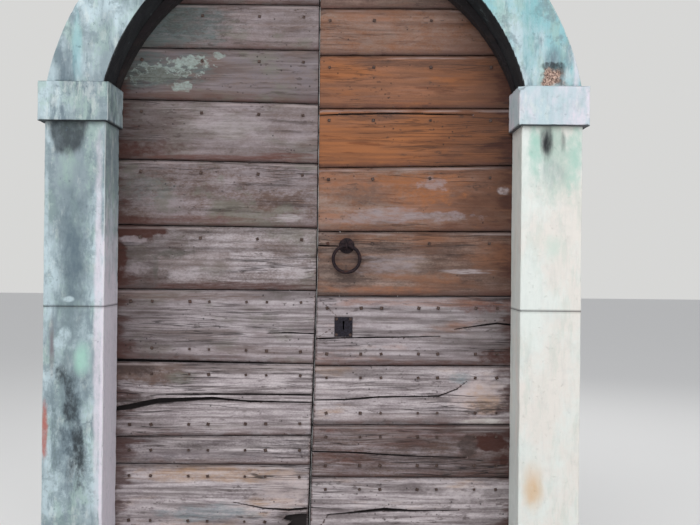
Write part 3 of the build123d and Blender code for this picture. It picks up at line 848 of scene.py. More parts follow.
@dataclass
class Timber:
    """A board or plank, worn along its fibres.

    The steps are the widths of the slices that take its relief, and the reach is how deep behind its
    visible face the wear goes. The swell moves what lies within the meeting's width of the door's
    middle. Its lower and upper edge are sought in columns, of which so many go to the metre, and the
    fades are how far their marks reach. Ridges stand proud by so much, and splits and gaps are painted
    with shade by their depth: darker from the shade depth on, black at the black shade depth.
    """

    node: str
    body: str
    finish: TimberFinish
    wear: Wear
    facing: Facing
    slot: str
    nails: list[Vector] = field(default_factory=list)
    along_step: float = 0.012
    across_step: float = 0.005
    reach: float = 0.008
    nail_reach: float = 0.009
    swell: float = 0.0
    meeting: float = 0.022
    columns: int = 2000
    foot_fade: float = 0.016
    head_fade: float = 0.012
    proud: float = 0.0004
    shade_depth: float = 0.003
    black_shade_depth: float = 0.009

    @property
    def along(self) -> int:
        """The axis along the fibres."""
        return self.finish.grain.value

    @property
    def across(self) -> int:
        """The axis across the fibres."""
        return 2 - self.along

    def shaped(self) -> BMesh:
        """Cut the copy into slices that its relief needs, and wear it.

        Returns:
            The worn board's mesh.
        """
        mesh = copy_of(self.node)
        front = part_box(self.node)[0 if self.facing is Facing.STREET else 1].y

        def sides(face: BMFace) -> bool:
            """Whether a face isn't the hidden one."""
            return face.normal.y * self.facing.value > -0.9

        def outer(face: BMFace) -> bool:
            """Whether a face is part of the side that shows."""
            return face.normal.y * self.facing.value > 0.2

        slice_up(mesh, self.along, self.along_step, sides)
        slice_up(mesh, self.across, self.across_step, outer)
        self.weather(mesh, front)
        for vert in mesh.verts:
            if abs(vert.co.x) < self.meeting:
                vert.co.x += self.swell
        return mesh

    def weather(self, mesh: BMesh, front: float) -> None:
        """Move the vertices near the face that shows, and note what the finish needs.

        Args:
            mesh: The sliced board.
            front: Where that face lies along Y.
        """
        mesh.normal_update()
        names = ("hollow", "foot", "head", "rust", "deep")
        layers = {name: mesh.verts.layers.float.new(name) for name in names}
        edges: dict[int, list[float]] = {}
        shown = [vert for vert in mesh.verts if abs(vert.co.y - front) < self.reach * 4]
        for vert in shown:
            key = round(vert.co[self.along] * self.columns)
            edges.setdefault(key, []).append(vert.co[self.across])
        seed = self.finish.seed
        for vert in shown:
            place = vert.co.copy()
            run, rise = place[self.along], place[self.across]
            depth = abs(place.y - front)
            share = max(0.0, 1.0 - depth / self.reach)
            ridge = cloud(run * 2.6 + seed, seed * 3.1, rise * 95.0)
            ripple = cloud(run * 4.0, seed, rise * 9.0 + seed, 2)
            near, bled = min((self.rust_of(place, nail) for nail in self.nails), default=(1.0, 0.0))
            calm = min(1.0, near / self.nail_reach)
            sink = self.wear.ridge * (0.4 - ridge) + self.wear.ripple * (0.4 - ripple)
            vert.co.y -= self.facing.value * share * max(sink, -self.proud) * (0.25 + 0.75 * calm)
            if share > 0.0:
                self.erode(vert, run, rise, share)
            column = edges[round(run * self.columns)]
            worn = min(1.0, self.wear.ridge * 1100)
            vert[layers["hollow"]] = min(1.0, max(0.0, 0.25 - ridge) * 1.6) * worn
            vert[layers["foot"]] = exp(-(rise - min(column)) / self.foot_fade) * share
            vert[layers["head"]] = exp(-(max(column) - rise) / self.head_fade) * share
            vert[layers["rust"]] = 0.9 * bled * max(0.0, 1.0 - near / self.nail_reach)
            # Painted shade: faces deeper behind the visible face, in splits and gaps, are painted darker
            # down to black; end grain less so.
            end_grain = abs(vert.normal[self.along]) > 0.7
            dark = max(0.0, depth - self.shade_depth) / (self.black_shade_depth - self.shade_depth)
            vert[layers["deep"]] = min(1.0, dark) * (0.3 if end_grain else 1.0)

    def erode(self, vert: BMVert, run: float, rise: float, share: float) -> None:
        """Wear an edge back along its normal, unevenly.

        Args:
            vert: The vertex.
            run: Its place along the fibres.
            rise: Its place across them.
            share: How near the face it lies.
        """
        normal = vert.normal
        turn = hypot(normal.x, normal.z)
        if turn < 0.25:
            return
        loss = self.wear.ragged * share * (0.6 + cloud(run * 22.0, self.finish.seed, rise * 5.0))
        vert.co.x -= normal.x / turn * loss
        vert.co.z -= normal.z / turn * loss

    def rust_of(self, place: Vector, nail: Vector) -> Pair:
        """How near a nail is and how much it has rusted.

        Args:
            place: A place on the board.
            nail: The nail's middle.

        Returns:
            The distance, shorter below the nail, where its rust runs down, and the rust from 0 to 1.
        """
        drop = nail.z - place.z
        distance = hypot(place.x - nail.x, drop * (0.55 if drop > 0 else 1.0))
        return distance, 0.5 + 0.5 * cloud(nail.x * 70, self.finish.seed, nail.z * 70, 1)

    def build(self) -> Object:
        """Make the board in place of its node.

        Returns:
            The piece.
        """
        material = self.finish.material(f"{self.node}_timber")
        piece = finished(self.shaped(), f"{self.node}_worn", self.body, material, self.slot)
        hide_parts(self.node)
        return piece


@dataclass
class Stone:
    """A dressed stone with worn faces and chipped arrises.

    The step is the width of its slices; the hollow, the grit and the chip are how deep the wear, the
    roughness and the breaks of its edges go; a place nearer than the seat to one of its beds is on it.
    """

    node: str
    finish: StoneFinish | TimberFinish
    body: str = "surround"
    slot: str = "stone"
    step: float = 0.009
    hollow: float = 0.0012
    chip: float = 0.004
    seed: float = 0.0
    grit: float = 0.0004
    seat: float = 1e-4

    def shaped(self) -> BMesh:
        """Cut the copy of the stone into small faces, and wear it.

        Returns:
            The worn stone's mesh.
        """
        mesh = copy_of(self.node)
        for axis in range(3):
            slice_up(mesh, axis, self.step)
        self.weather(mesh)
        return mesh

    def weather(self, mesh: BMesh) -> None:
        """Wear the faces and chip the arrises.

        Args:
            mesh: The sliced stone.
        """
        mesh.normal_update()
        arris = mesh.verts.layers.float.new("arris")
        broken = mesh.verts.layers.float.new("broken")
        soot_and_shade = mesh.verts.layers.float.new("soot_and_shade")
        low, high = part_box(self.node)
        for vert in mesh.verts:
            place, normal = vert.co.copy(), vert.normal.copy()
            flat = max(abs(normal.x), abs(normal.y), abs(normal.z))
            edge = min(1.0, max(0.0, 0.97 - flat) * 6.0)
            wear = self.hollow * (0.5 - cloud(place.x * 9 + self.seed, place.y * 9, place.z * 7))
            grain = self.grit * cloud(place.x * 70, place.y * 70 + self.seed, place.z * 70, 2)
            bite = cloud(place.x * 30 + self.seed, place.y * 30, place.z * 24, 2) - 0.22
            loss = max(wear, 0.0) + grain + edge * self.chip * max(0.0, bite) * 2.0
            # Painted shade with soot on the undersides, some dirt on the top faces.
            vert[soot_and_shade] = self.soot_and_shade_at(place, normal)
            bedded = place.z - low.z < self.seat or high.z - place.z < self.seat
            if bedded:
                normal.z = 0.0
                vert[soot_and_shade] = max(vert[soot_and_shade], 0.3)
            vert.co -= normal * loss
            vert[arris] = 0.0 if bedded or abs(normal.z) >= 0.3 else edge
            vert[broken] = 0.0

    def soot_and_shade_at(self, place: Vector, normal: Vector) -> float:
        """Soot and painted shade at a place: painted shade with soot underneath, some dirt on top.

        Args:
            place: The place; not used.
            normal: The way that the surface faces there.

        Returns:
            The painted shade and dirt, from 0 to 1.
        """
        if normal.z < -0.5:
            return 0.9
        return 0.3 if normal.z > 0.5 else 0.0

    def build(self) -> Object:
        """Make the stone in place of its node.

        Returns:
            The piece.
        """
        material = self.finish.material(f"{self.node}_{self.slot}")
        piece = finished(self.shaped(), f"{self.node}_worn", self.body, material, self.slot)
        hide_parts(self.node)
        return piece


@dataclass
class ArchStone(Stone):
    """A curved stone, worn along its own curve.

    Its foot, up to the foot's height, is first cut into coarse slices, because its curve is unrolled for
    the fine ones, and what then lies within the bed's slack is laid back on the flat bed. The spall is
    the place where the face has broken away.
    """

    centre_z: float = 1.789
    middle_radius: float = 0.8835
    foot_height: float = 0.06
    coarse: int = 6
    bed_slack: float = 0.003
    spall: Point = (0.857, -0.135, 2.012)
    spall_radius: float = 0.045
    spall_depth: float = 0.003

    def unrolled(self, place: Vector) -> Vector:
        """Unroll a place, and return its length along the curve, depth and radius."""
        x, z = place.x, place.z - self.centre_z
        return Vector((atan2(x, z) * self.middle_radius, place.y, hypot(x, z)))

    def rolled(self, place: Vector) -> Vector:
        """Roll a length along the curve, depth and radius up again, and return the place."""
        angle = place.x / self.middle_radius
        return Vector((sin(angle) * place.z, place.y, self.centre_z + cos(angle) * place.z))

    def soot_and_shade_at(self, place: Vector, normal: Vector) -> float:
        """Soot and painted shade at a place: the soffit, facing the arch's centre, is painted dark.

        Args:
            place: The place.
            normal: The way that the surface faces there.

        Returns:
            The painted shade and grime, from 0 to 1.
        """
        inward = Vector((place.x, 0.0, place.z - self.centre_z)).normalized()
        return min(1.0, max(0.0, -normal.dot(inward) * 1.8 - 0.2))

    def shaped(self) -> BMesh:
        """Cut the stone along its curve, and wear it.

        Returns:
            The worn stone's mesh.
        """
        mesh = copy_of(self.node)
        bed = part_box(self.node)[0].z
        top = bed + self.foot_height
        for axis in (0, 2):
            slice_up(mesh, axis, self.step * self.coarse, lambda face: face.calc_center_median().z < top)
        for vert in mesh.verts:
            vert.co = self.unrolled(vert.co)
        for axis in range(3):
            slice_up(mesh, axis, self.step)
        for vert in mesh.verts:
            vert.co = self.rolled(vert.co)
            if abs(vert.co.z - bed) < self.bed_slack:
                vert.co.z = bed
        self.weather(mesh)
        if self.spall_radius > 0.0:
            self.break_face(mesh)
        return mesh

    def break_face(self, mesh: BMesh) -> None:
        """Roughen the broken place near the right foot.

        Args:
            mesh: The worn stone.
        """
        broken = mesh.verts.layers.float["broken"]
        middle = Vector(self.spall)
        for vert in mesh.verts:
            if vert.co.y > self.spall[1] + 0.02:
                continue
            away = hypot(vert.co.x - middle.x, vert.co.z - middle.z) / self.spall_radius
            torn = away + 0.5 * cloud(vert.co.x * 40, 3.0, vert.co.z * 40)
            share = min(1.0, max(0.0, (1.0 - torn) * 2.5))
            vert[broken] = share
            vert.co.y += share * self.spall_depth * (1.0 + cloud(vert.co.x * 90, 7.0, vert.co.z * 90))


@dataclass
class Rim(ArchStone):
    """The dark timber strip under the arch, worn along its curve; its near-black tones are painted shade.
    """

    slot: str = "rim_timber"
    step: float = 0.008
    hollow: float = 0.0008
    chip: float = 0.0012
    spall_radius: float = 0.0


@dataclass
class Forging:
    """An iron piece with the unevenness of hand work.

    The step is the width of its slices and the unevenness is how deep they are worn, both in metres.
    Edges that turn by more degrees than the crease stay sharp.
    """

    node: str
    body: str
    finish: IronFinish = IronFinish()
    step: float = 0.005
    uneven: float = 0.0004
    crease: float = 30.0

    def build(self) -> Object:
        """Make the piece in place of its node.

        Returns:
            The piece.
        """
        mesh = copy_of(self.node)
        for axis in range(3):
            slice_up(mesh, axis, self.step)
        mesh.normal_update()
        for vert in mesh.verts:
            place = vert.co * 60
            vert.co -= vert.normal * self.uneven * (0.6 + cloud(place.x, place.y, place.z, 2))
        iron = self.finish.material(f"{self.node}_iron")
        piece = finished(mesh, f"{self.node}_forged", self.body, iron, "forged_iron", self.crease)
        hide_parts(self.node)
        return piece


@dataclass
class Nails:
    """The nail heads of a leaf: forged by hand, so no two are alike in their turn and size.

    They turn by up to so many degrees, and the size is their smallest and largest factor.
    """

    node: str
    body: str
    finish: IronFinish = IronFinish(Tone.NAIL_BROWN, Tone.NAIL_GREY, 0.6)
    turn: float = 25.0
    size: Pair = (0.85, 1.25)
    seed: int = 11
    crease: float = 20.0

    def places(self) -> list[Vector]:
        """Find the middle of each nail head.

        Returns:
            The middles.
        """
        mesh = copy_of(self.node)
        found = [middle_of(shell) for shell in islands(mesh)]
        mesh.free()
        return found

    def build(self) -> Object:
        """Make the nail heads in place of their node.

        Returns:
            The piece.
        """
        chance = random.Random(self.seed)
        mesh = copy_of(self.node)
        for shell in islands(mesh):
            middle = middle_of(shell)
            spin = Matrix.Rotation(radians(chance.uniform(-self.turn, self.turn)), 3, "Y")
            size = chance.uniform(*self.size)
            for vert in shell:
                arm = spin @ (vert.co - middle)
                vert.co = middle + Vector((arm.x * size, arm.y, arm.z * size))
        iron = self.finish.material(f"{self.node}_iron")
        piece = finished(mesh, f"{self.node}_forged", self.body, iron, "nail_iron", self.crease)
        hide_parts(self.node)
        return piece


@dataclass(frozen=True)
class Look:
    """How one board has weathered: its tones, and how warm, bleached, mossy and dark at the hinge it is."""

    light: Tone
    dark: Tone
    warm: Tone = Tone.DRIED_BROWN
    warmth: float = 0.15
    bleach: float = 0.15
    shade: float = 0.3
    contrast: float = 0.09
    shade_tone: Tone = Tone.DEEP_BROWN
    streaks: float = 0.16
    moss: float = 0.0


# The boards of each leaf, from the foot up.
LEFT_LOOKS = (
    Look(Tone.BONE, Tone.DIM_MAUVE, Tone.OCHRE, 0.25, 0.6, 0.3, streaks=0.28),
    Look(Tone.BONE, Tone.GREY_MAUVE, Tone.OCHRE, 0.3, 0.75, 0.05, streaks=0.26),
    Look(Tone.BONE, Tone.DIM_MAUVE, Tone.DRIED_BROWN, 0.12, 0.4, 0.1, streaks=0.18, moss=0.2),
    Look(Tone.BONE, Tone.GREY_MAUVE, Tone.OLIVE, 0.15, 0.75, 0.4, streaks=0.24),
    Look(Tone.SILVER, Tone.GREY_MAUVE, Tone.GREY_BROWN, 0.3, 0.3, 0.7, streaks=0.16, moss=0.5),
    Look(Tone.SILVER, Tone.GREY_BROWN, Tone.DRIED_BROWN, 0.2, 0.08, 0.85, streaks=0.1, moss=0.5),
    Look(Tone.GREY_MAUVE, Tone.DRIED_BROWN, Tone.RED_STAIN, 0.08, 0.04, 0.6, streaks=0.08, moss=0.7),
    Look(Tone.GREY_MAUVE, Tone.GREY_BROWN, Tone.DRIED_BROWN, 0.2, 0.15, 0.85, streaks=0.09, moss=0.35),
    Look(Tone.DIM_MAUVE, Tone.GREY_BROWN, Tone.DRIED_BROWN, 0.35, 0.15, 0.45, streaks=0.1, moss=0.6),
    Look(
        Tone.GREY_MAUVE, Tone.GREY_BROWN, Tone.DRIED_BROWN, 0.35, 0.15, 0.6,
        shade_tone=Tone.GREEN_GREY, streaks=0.1, moss=0.6,
    ),
    Look(Tone.DIM_MAUVE, Tone.GREY_BROWN, Tone.DRIED_BROWN, 0.3, 0.1, 0.5, streaks=0.1, moss=0.3),
)

RIGHT_LOOKS = (
    Look(Tone.BONE, Tone.SILVER, Tone.OCHRE, 0.2, 0.8, 0.2, streaks=0.28),
    Look(Tone.BONE, Tone.GREY_MAUVE, Tone.OCHRE, 0.25, 0.7, 0.1, streaks=0.26),
    Look(Tone.GREY_MAUVE, Tone.DRIED_BROWN, Tone.RED_STAIN, 0.4, 0.3, 0.5, streaks=0.24),
    Look(Tone.BONE, Tone.GREY_MAUVE, Tone.OCHRE, 0.15, 0.35, 0.05, streaks=0.18),
    Look(Tone.SILVER, Tone.GREY_MAUVE, Tone.RUSSET, 0.25, 0.25, 0.6, streaks=0.14, moss=0.2),
    Look(Tone.FAWN, Tone.DRIED_BROWN, Tone.AMBER, 0.5, 0.1, 0.8, 0.08, Tone.UMBER, 0.1, 0.1),
    Look(Tone.FAWN, Tone.AMBER, Tone.RUSSET, 0.6, 0.05, 0.9, 0.09, Tone.UMBER, 0.08, 0.1),
    Look(Tone.RUSSET, Tone.AMBER, Tone.ORANGE, 0.8, 0.0, 1.0, 0.14, Tone.UMBER, 0.08),
    Look(Tone.RUSSET, Tone.AMBER, Tone.ORANGE, 0.45, 0.03, 0.9, 0.13, Tone.UMBER, 0.08),
    Look(Tone.PINK_BROWN, Tone.AMBER, Tone.RUSSET, 0.3, 0.05, 0.9, 0.1, Tone.UMBER, 0.08, 0.1),
    Look(Tone.PINK_BROWN, Tone.DRIED_BROWN, Tone.AMBER, 0.3, 0.0, 0.85, 0.1, Tone.UMBER, 0.08, 0.2),
)

# How fine the patterns of the stains are along the three axes.
FLECKS = (34.0, 34.0, 80.0)
LINES = (8.0, 8.0, 120.0)
BLOTS = (20.0, 20.0, 30.0)
CRUSTS = (28.0, 28.0, 44.0)
LARGE_BLOTS = (14.0, 14.0, 24.0)
UPRIGHT_RUNS = (14.0, 14.0, 8.0)
THIN_RUNS = (26.0, 26.0, 5.0)
ROUGH_RUNS = (24.0, 24.0, 14.0)

# The stains of each leaf, by the number of the board from the foot up.
LEFT_STAINS: dict[int, tuple[Stain, ...]] = {
    2: (
        Stain((-0.36, 0.525), (0.36, 0.04), Tone.OCHRE, 0.55, 1.6),
        Stain((-0.10, 0.47), (0.12, 0.07), Tone.PALE_PINK, 0.7, 1.6),
        Stain((-0.40, 0.375), (0.22, 0.04), Tone.SLATE, 0.6, 2.2),
        Stain((-0.06, 0.36), (0.09, 0.035), Tone.DEEP_BROWN, 0.85, 1.8, 0.4, LINES),
        Stain((-0.25, 0.34), (0.20, 0.03), Tone.DIM_MAUVE, 0.6, 2.2, 0.5, LINES),
    ),
    3: (Stain((-0.4, 0.60), (0.4, 0.02), Tone.DIM_MAUVE, 0.6, 2.0, 0.5, LINES),),
    4: (
        Stain((-0.62, 0.915), (0.20, 0.055), Tone.DRIED_BROWN, 0.95, 1.6, 0.5, BLOTS, 0.6),
        Stain((-0.68, 0.93), (0.13, 0.035), Tone.DEEP_BROWN, 0.85, 2.0, 0.5, BLOTS, 0.6),
        Stain((-0.68, 0.80), (0.12, 0.03), Tone.DEEP_BROWN, 0.7, 2.0, 0.5, BLOTS, 0.5),
        Stain((-0.52, 0.89), (0.08, 0.03), Tone.OLIVE, 0.7, 2.0),
        Stain((-0.35, 0.93), (0.30, 0.018), Tone.GREY_BROWN, 0.7, 2.0, 0.5, LINES),
    ),
    5: (
        Stain((-0.5, 1.205), (0.34, 0.022), Tone.DRIED_BROWN, 0.7, 2.2, 0.5, LINES),
        Stain((-0.42, 1.06), (0.16, 0.03), Tone.GREY_BROWN, 0.6, 2.4, 0.5, LINES),
        Stain((-0.2, 1.00), (0.22, 0.02), Tone.DRIED_BROWN, 0.45, 2.4, 0.5, LINES),
    ),
    6: (
        Stain((-0.68, 1.45), (0.13, 0.04), Tone.DARK_RED, 1.0, 1.8, 0.3, LARGE_BLOTS, 0.9),
        Stain((-0.75, 1.36), (0.035, 0.14), Tone.DARK_RED, 1.0, 1.6, 0.3, (14.0, 14.0, 14.0), 0.9),
        Stain((-0.70, 1.415), (0.06, 0.022), Tone.GREY_MAUVE, 0.8, 1.6, 0.5, BLOTS, 0.6),
        Stain((-0.69, 1.31), (0.06, 0.04), Tone.GREY_MAUVE, 0.6, 2.2, 0.8, BLOTS, 0.4),
        Stain((-0.54, 1.365), (0.10, 0.02), Tone.MOSS_BLACK, 0.75, 2.6, 0.6, BLOTS, 0.3),
        Stain((-0.605, 1.31), (0.014, 0.06), Tone.MOSS_BLACK, 0.75, 1.8, 0.6, BLOTS, 0.5),
        Stain((-0.50, 1.285), (0.09, 0.03), Tone.SILVER, 0.5, 2.6, 0.7, BLOTS, 0.3),
        Stain((-0.3, 1.248), (0.36, 0.018), Tone.DARK_RED, 0.85, 1.4, 0.5, LINES, 0.5),
        Stain((-0.05, 1.30), (0.03, 0.03), Tone.SILVER, 0.6, 2.0),
        Stain((-0.45, 1.34), (0.18, 0.05), Tone.GREY_BROWN, 0.5, 2.6, 0.5),
    ),
    7: (
        Stain((-0.70, 1.495), (0.10, 0.025), Tone.DARK_RED, 0.9, 1.8, 0.5, BLOTS, 0.6),
        Stain((-0.64, 1.62), (0.14, 0.07), Tone.GREEN_GREY, 0.3, 3.0, 0.8, FLECKS),
        Stain((-0.42, 1.50), (0.20, 0.018), Tone.RED_STAIN, 0.5, 2.0, 0.5, LINES),
        Stain((-0.10, 1.505), (0.07, 0.016), Tone.SILVER, 0.7, 2.0, 0.6, LINES),
    ),
    8: (
        Stain((-0.62, 1.765), (0.15, 0.04), Tone.DARK_RED, 0.65, 2.0, 0.5, BLOTS, 0.5),
        Stain((-0.38, 1.734), (0.40, 0.014), Tone.RED_STAIN, 0.8, 1.4, 0.5, LINES, 0.5),
        Stain((-0.70, 1.76), (0.09, 0.03), Tone.DARK_RED, 0.8, 2.4, 0.4, BLOTS, 0.5),
        Stain((-0.10, 1.745), (0.13, 0.02), Tone.RED_STAIN, 0.75, 1.8, 0.5, LINES),
        Stain((-0.35, 1.86), (0.2, 0.05), Tone.SILVER, 0.35, 2.4),
    ),
    9: (
        Stain((-0.62, 2.08), (0.26, 0.09), Tone.GREEN_GREY, 0.6, 2.4),
        Stain((-0.60, 2.055), (0.12, 0.04), Tone.LICHEN, 0.75, 4.0, 0.3, CRUSTS, 0.4),
        Stain((-0.60, 2.045), (0.09, 0.03), Tone.MOSS_BLACK, 0.8, 4.5, 0.3, CRUSTS, 0.4),
        Stain((-0.48, 2.10), (0.09, 0.025), Tone.LICHEN, 0.8, 3.5, 0.3, CRUSTS, 0.4),
        Stain((-0.51, 2.005), (0.045, 0.025), Tone.LICHEN, 0.8, 2.5, 0.3, CRUSTS, 0.4),
        Stain((-0.37, 2.125), (0.03, 0.013), Tone.LICHEN, 0.7, 2.5, 0.3, CRUSTS, 0.4),
        Stain((-0.45, 1.975), (0.3, 0.02), Tone.DRIED_BROWN, 0.6, 2.0, 0.5, LINES),
    ),
    10: (
        Stain((-0.56, 2.24), (0.28, 0.12), Tone.GREEN_GREY, 0.7, 1.8),
        Stain((-0.46, 2.25), (0.16, 0.06), Tone.DEEP_BROWN, 0.4, 4.5, 0.3, FLECKS),
    ),
}

RIGHT_STAINS: dict[int, tuple[Stain, ...]] = {
    2: (
        Stain((0.35, 0.31), (0.30, 0.03), Tone.DIM_MAUVE, 0.6, 2.4, 0.5, LINES),
        Stain((0.57, 0.46), (0.16, 0.04), Tone.BONE, 0.6, 2.2, 0.7, BLOTS, 0.4),
    ),
    3: (
        Stain((0.60, 0.64), (0.05, 0.05), Tone.DEEP_BROWN, 0.9, 2.2, 0.5, BLOTS, 0.6),
        Stain((0.685, 0.655), (0.07, 0.045), Tone.DARK_RED, 1.0, 1.4, 0.3, BLOTS, 0.9),
        Stain((0.73, 0.59), (0.02, 0.03), Tone.DARK_RED, 0.9, 1.6, 0.4, BLOTS, 0.8),
        Stain((0.12, 0.60), (0.12, 0.03), Tone.RED_STAIN, 0.5, 2.4),
        Stain((0.35, 0.60), (0.34, 0.03), Tone.DEEP_BROWN, 0.6, 2.6, 0.4, LINES),
        Stain((0.25, 0.68), (0.2, 0.03), Tone.GREY_BROWN, 0.6, 2.0, 0.5, LINES),
    ),
    4: (
        Stain((0.63, 0.83), (0.12, 0.09), Tone.PALE_PINK, 0.8, 1.6, 0.6, BLOTS, 0.6),
        Stain((0.65, 0.81), (0.08, 0.06), Tone.OCHRE, 0.6, 2.4, 0.7, BLOTS, 0.4),
        Stain((0.65, 0.79), (0.08, 0.03), Tone.DEEP_BROWN, 0.6, 3.6, 0.3, (12.0, 12.0, 60.0)),
        Stain((0.56, 0.90), (0.05, 0.035), Tone.SLATE, 0.6, 1.6),
        Stain((0.35, 0.75), (0.3, 0.02), Tone.GREY_BROWN, 0.5, 2.2, 0.5, LINES),
        Stain((0.65, 0.737), (0.10, 0.014), Tone.LIMESTONE_WARM, 0.75, 1.6, 0.5, LINES, 0.5),
    ),
    5: (
        Stain((0.71, 0.985), (0.10, 0.035), Tone.DARK_RED, 0.9, 1.8, 0.5, BLOTS, 0.6),
        Stain((0.66, 1.18), (0.17, 0.03), Tone.RED_STAIN, 0.75, 2.2, 0.6, BLOTS, 0.4),
        Stain((0.42, 0.957), (0.40, 0.014), Tone.DARK_RED, 0.7, 1.4, 0.5, LINES, 0.5),
        Stain((0.45, 1.19), (0.3, 0.018), Tone.RUSSET, 0.45, 2.2, 0.5, LINES),
    ),
    6: (
        Stain((0.68, 1.38), (0.16, 0.09), Tone.AMBER, 0.6, 2.0, 0.8),
        Stain((0.25, 1.235), (0.30, 0.02), Tone.RUSSET, 0.8, 1.2),
        Stain((0.30, 1.435), (0.30, 0.025), Tone.AMBER, 0.6, 1.8),
        Stain((0.47, 1.285), (0.09, 0.03), Tone.AMBER, 0.7, 2.0, 0.6, (14.0, 14.0, 30.0)),
        Stain((0.57, 1.31), (0.13, 0.012), Tone.SILVER, 0.6, 2.2, 0.5, LINES),
        Stain((0.122, 1.39), (0.075, 0.10), Tone.DEEP_BROWN, 0.45, 1.2, 0.8, (14.0, 14.0, 20.0)),
        Stain((0.12, 1.27), (0.05, 0.05), Tone.DEEP_BROWN, 0.6, 1.4),
        Stain((0.30, 1.33), (0.16, 0.05), Tone.GREY_MAUVE, 0.6, 2.0),
    ),
    7: (
        Stain((0.66, 1.60), (0.16, 0.12), Tone.UMBER, 0.6, 2.4, 0.8),
        Stain((0.25, 1.52), (0.2, 0.04), Tone.GREY_MAUVE, 0.7, 2.2),
        Stain((0.40, 1.66), (0.25, 0.03), Tone.ORANGE, 0.6, 2.0),
        Stain((0.40, 1.60), (0.16, 0.05), Tone.ORANGE, 0.6, 2.6, 0.6, BLOTS, 0.3),
        Stain((0.18, 1.60), (0.14, 0.05), Tone.DRIED_BROWN, 0.6, 2.6, 0.6, BLOTS, 0.3),
        Stain((0.45, 1.645), (0.07, 0.03), Tone.GREY_MAUVE, 0.65, 2.4, 0.6, BLOTS, 0.3),
        Stain((0.48, 1.52), (0.16, 0.025), Tone.GREY_MAUVE, 0.6, 2.6, 0.6, BLOTS, 0.3),
        Stain((0.72, 1.62), (0.03, 0.02), Tone.SILVER, 0.6, 2.0, 0.6, BLOTS, 0.3),
    ),
    8: (Stain((0.20, 1.90), (0.2, 0.02), Tone.DEEP_BROWN, 0.55, 2.0, 0.5, LINES),),
    9: (Stain((0.35, 2.10), (0.3, 0.02), Tone.DEEP_BROWN, 0.5, 2.0, 0.5, LINES),),
}


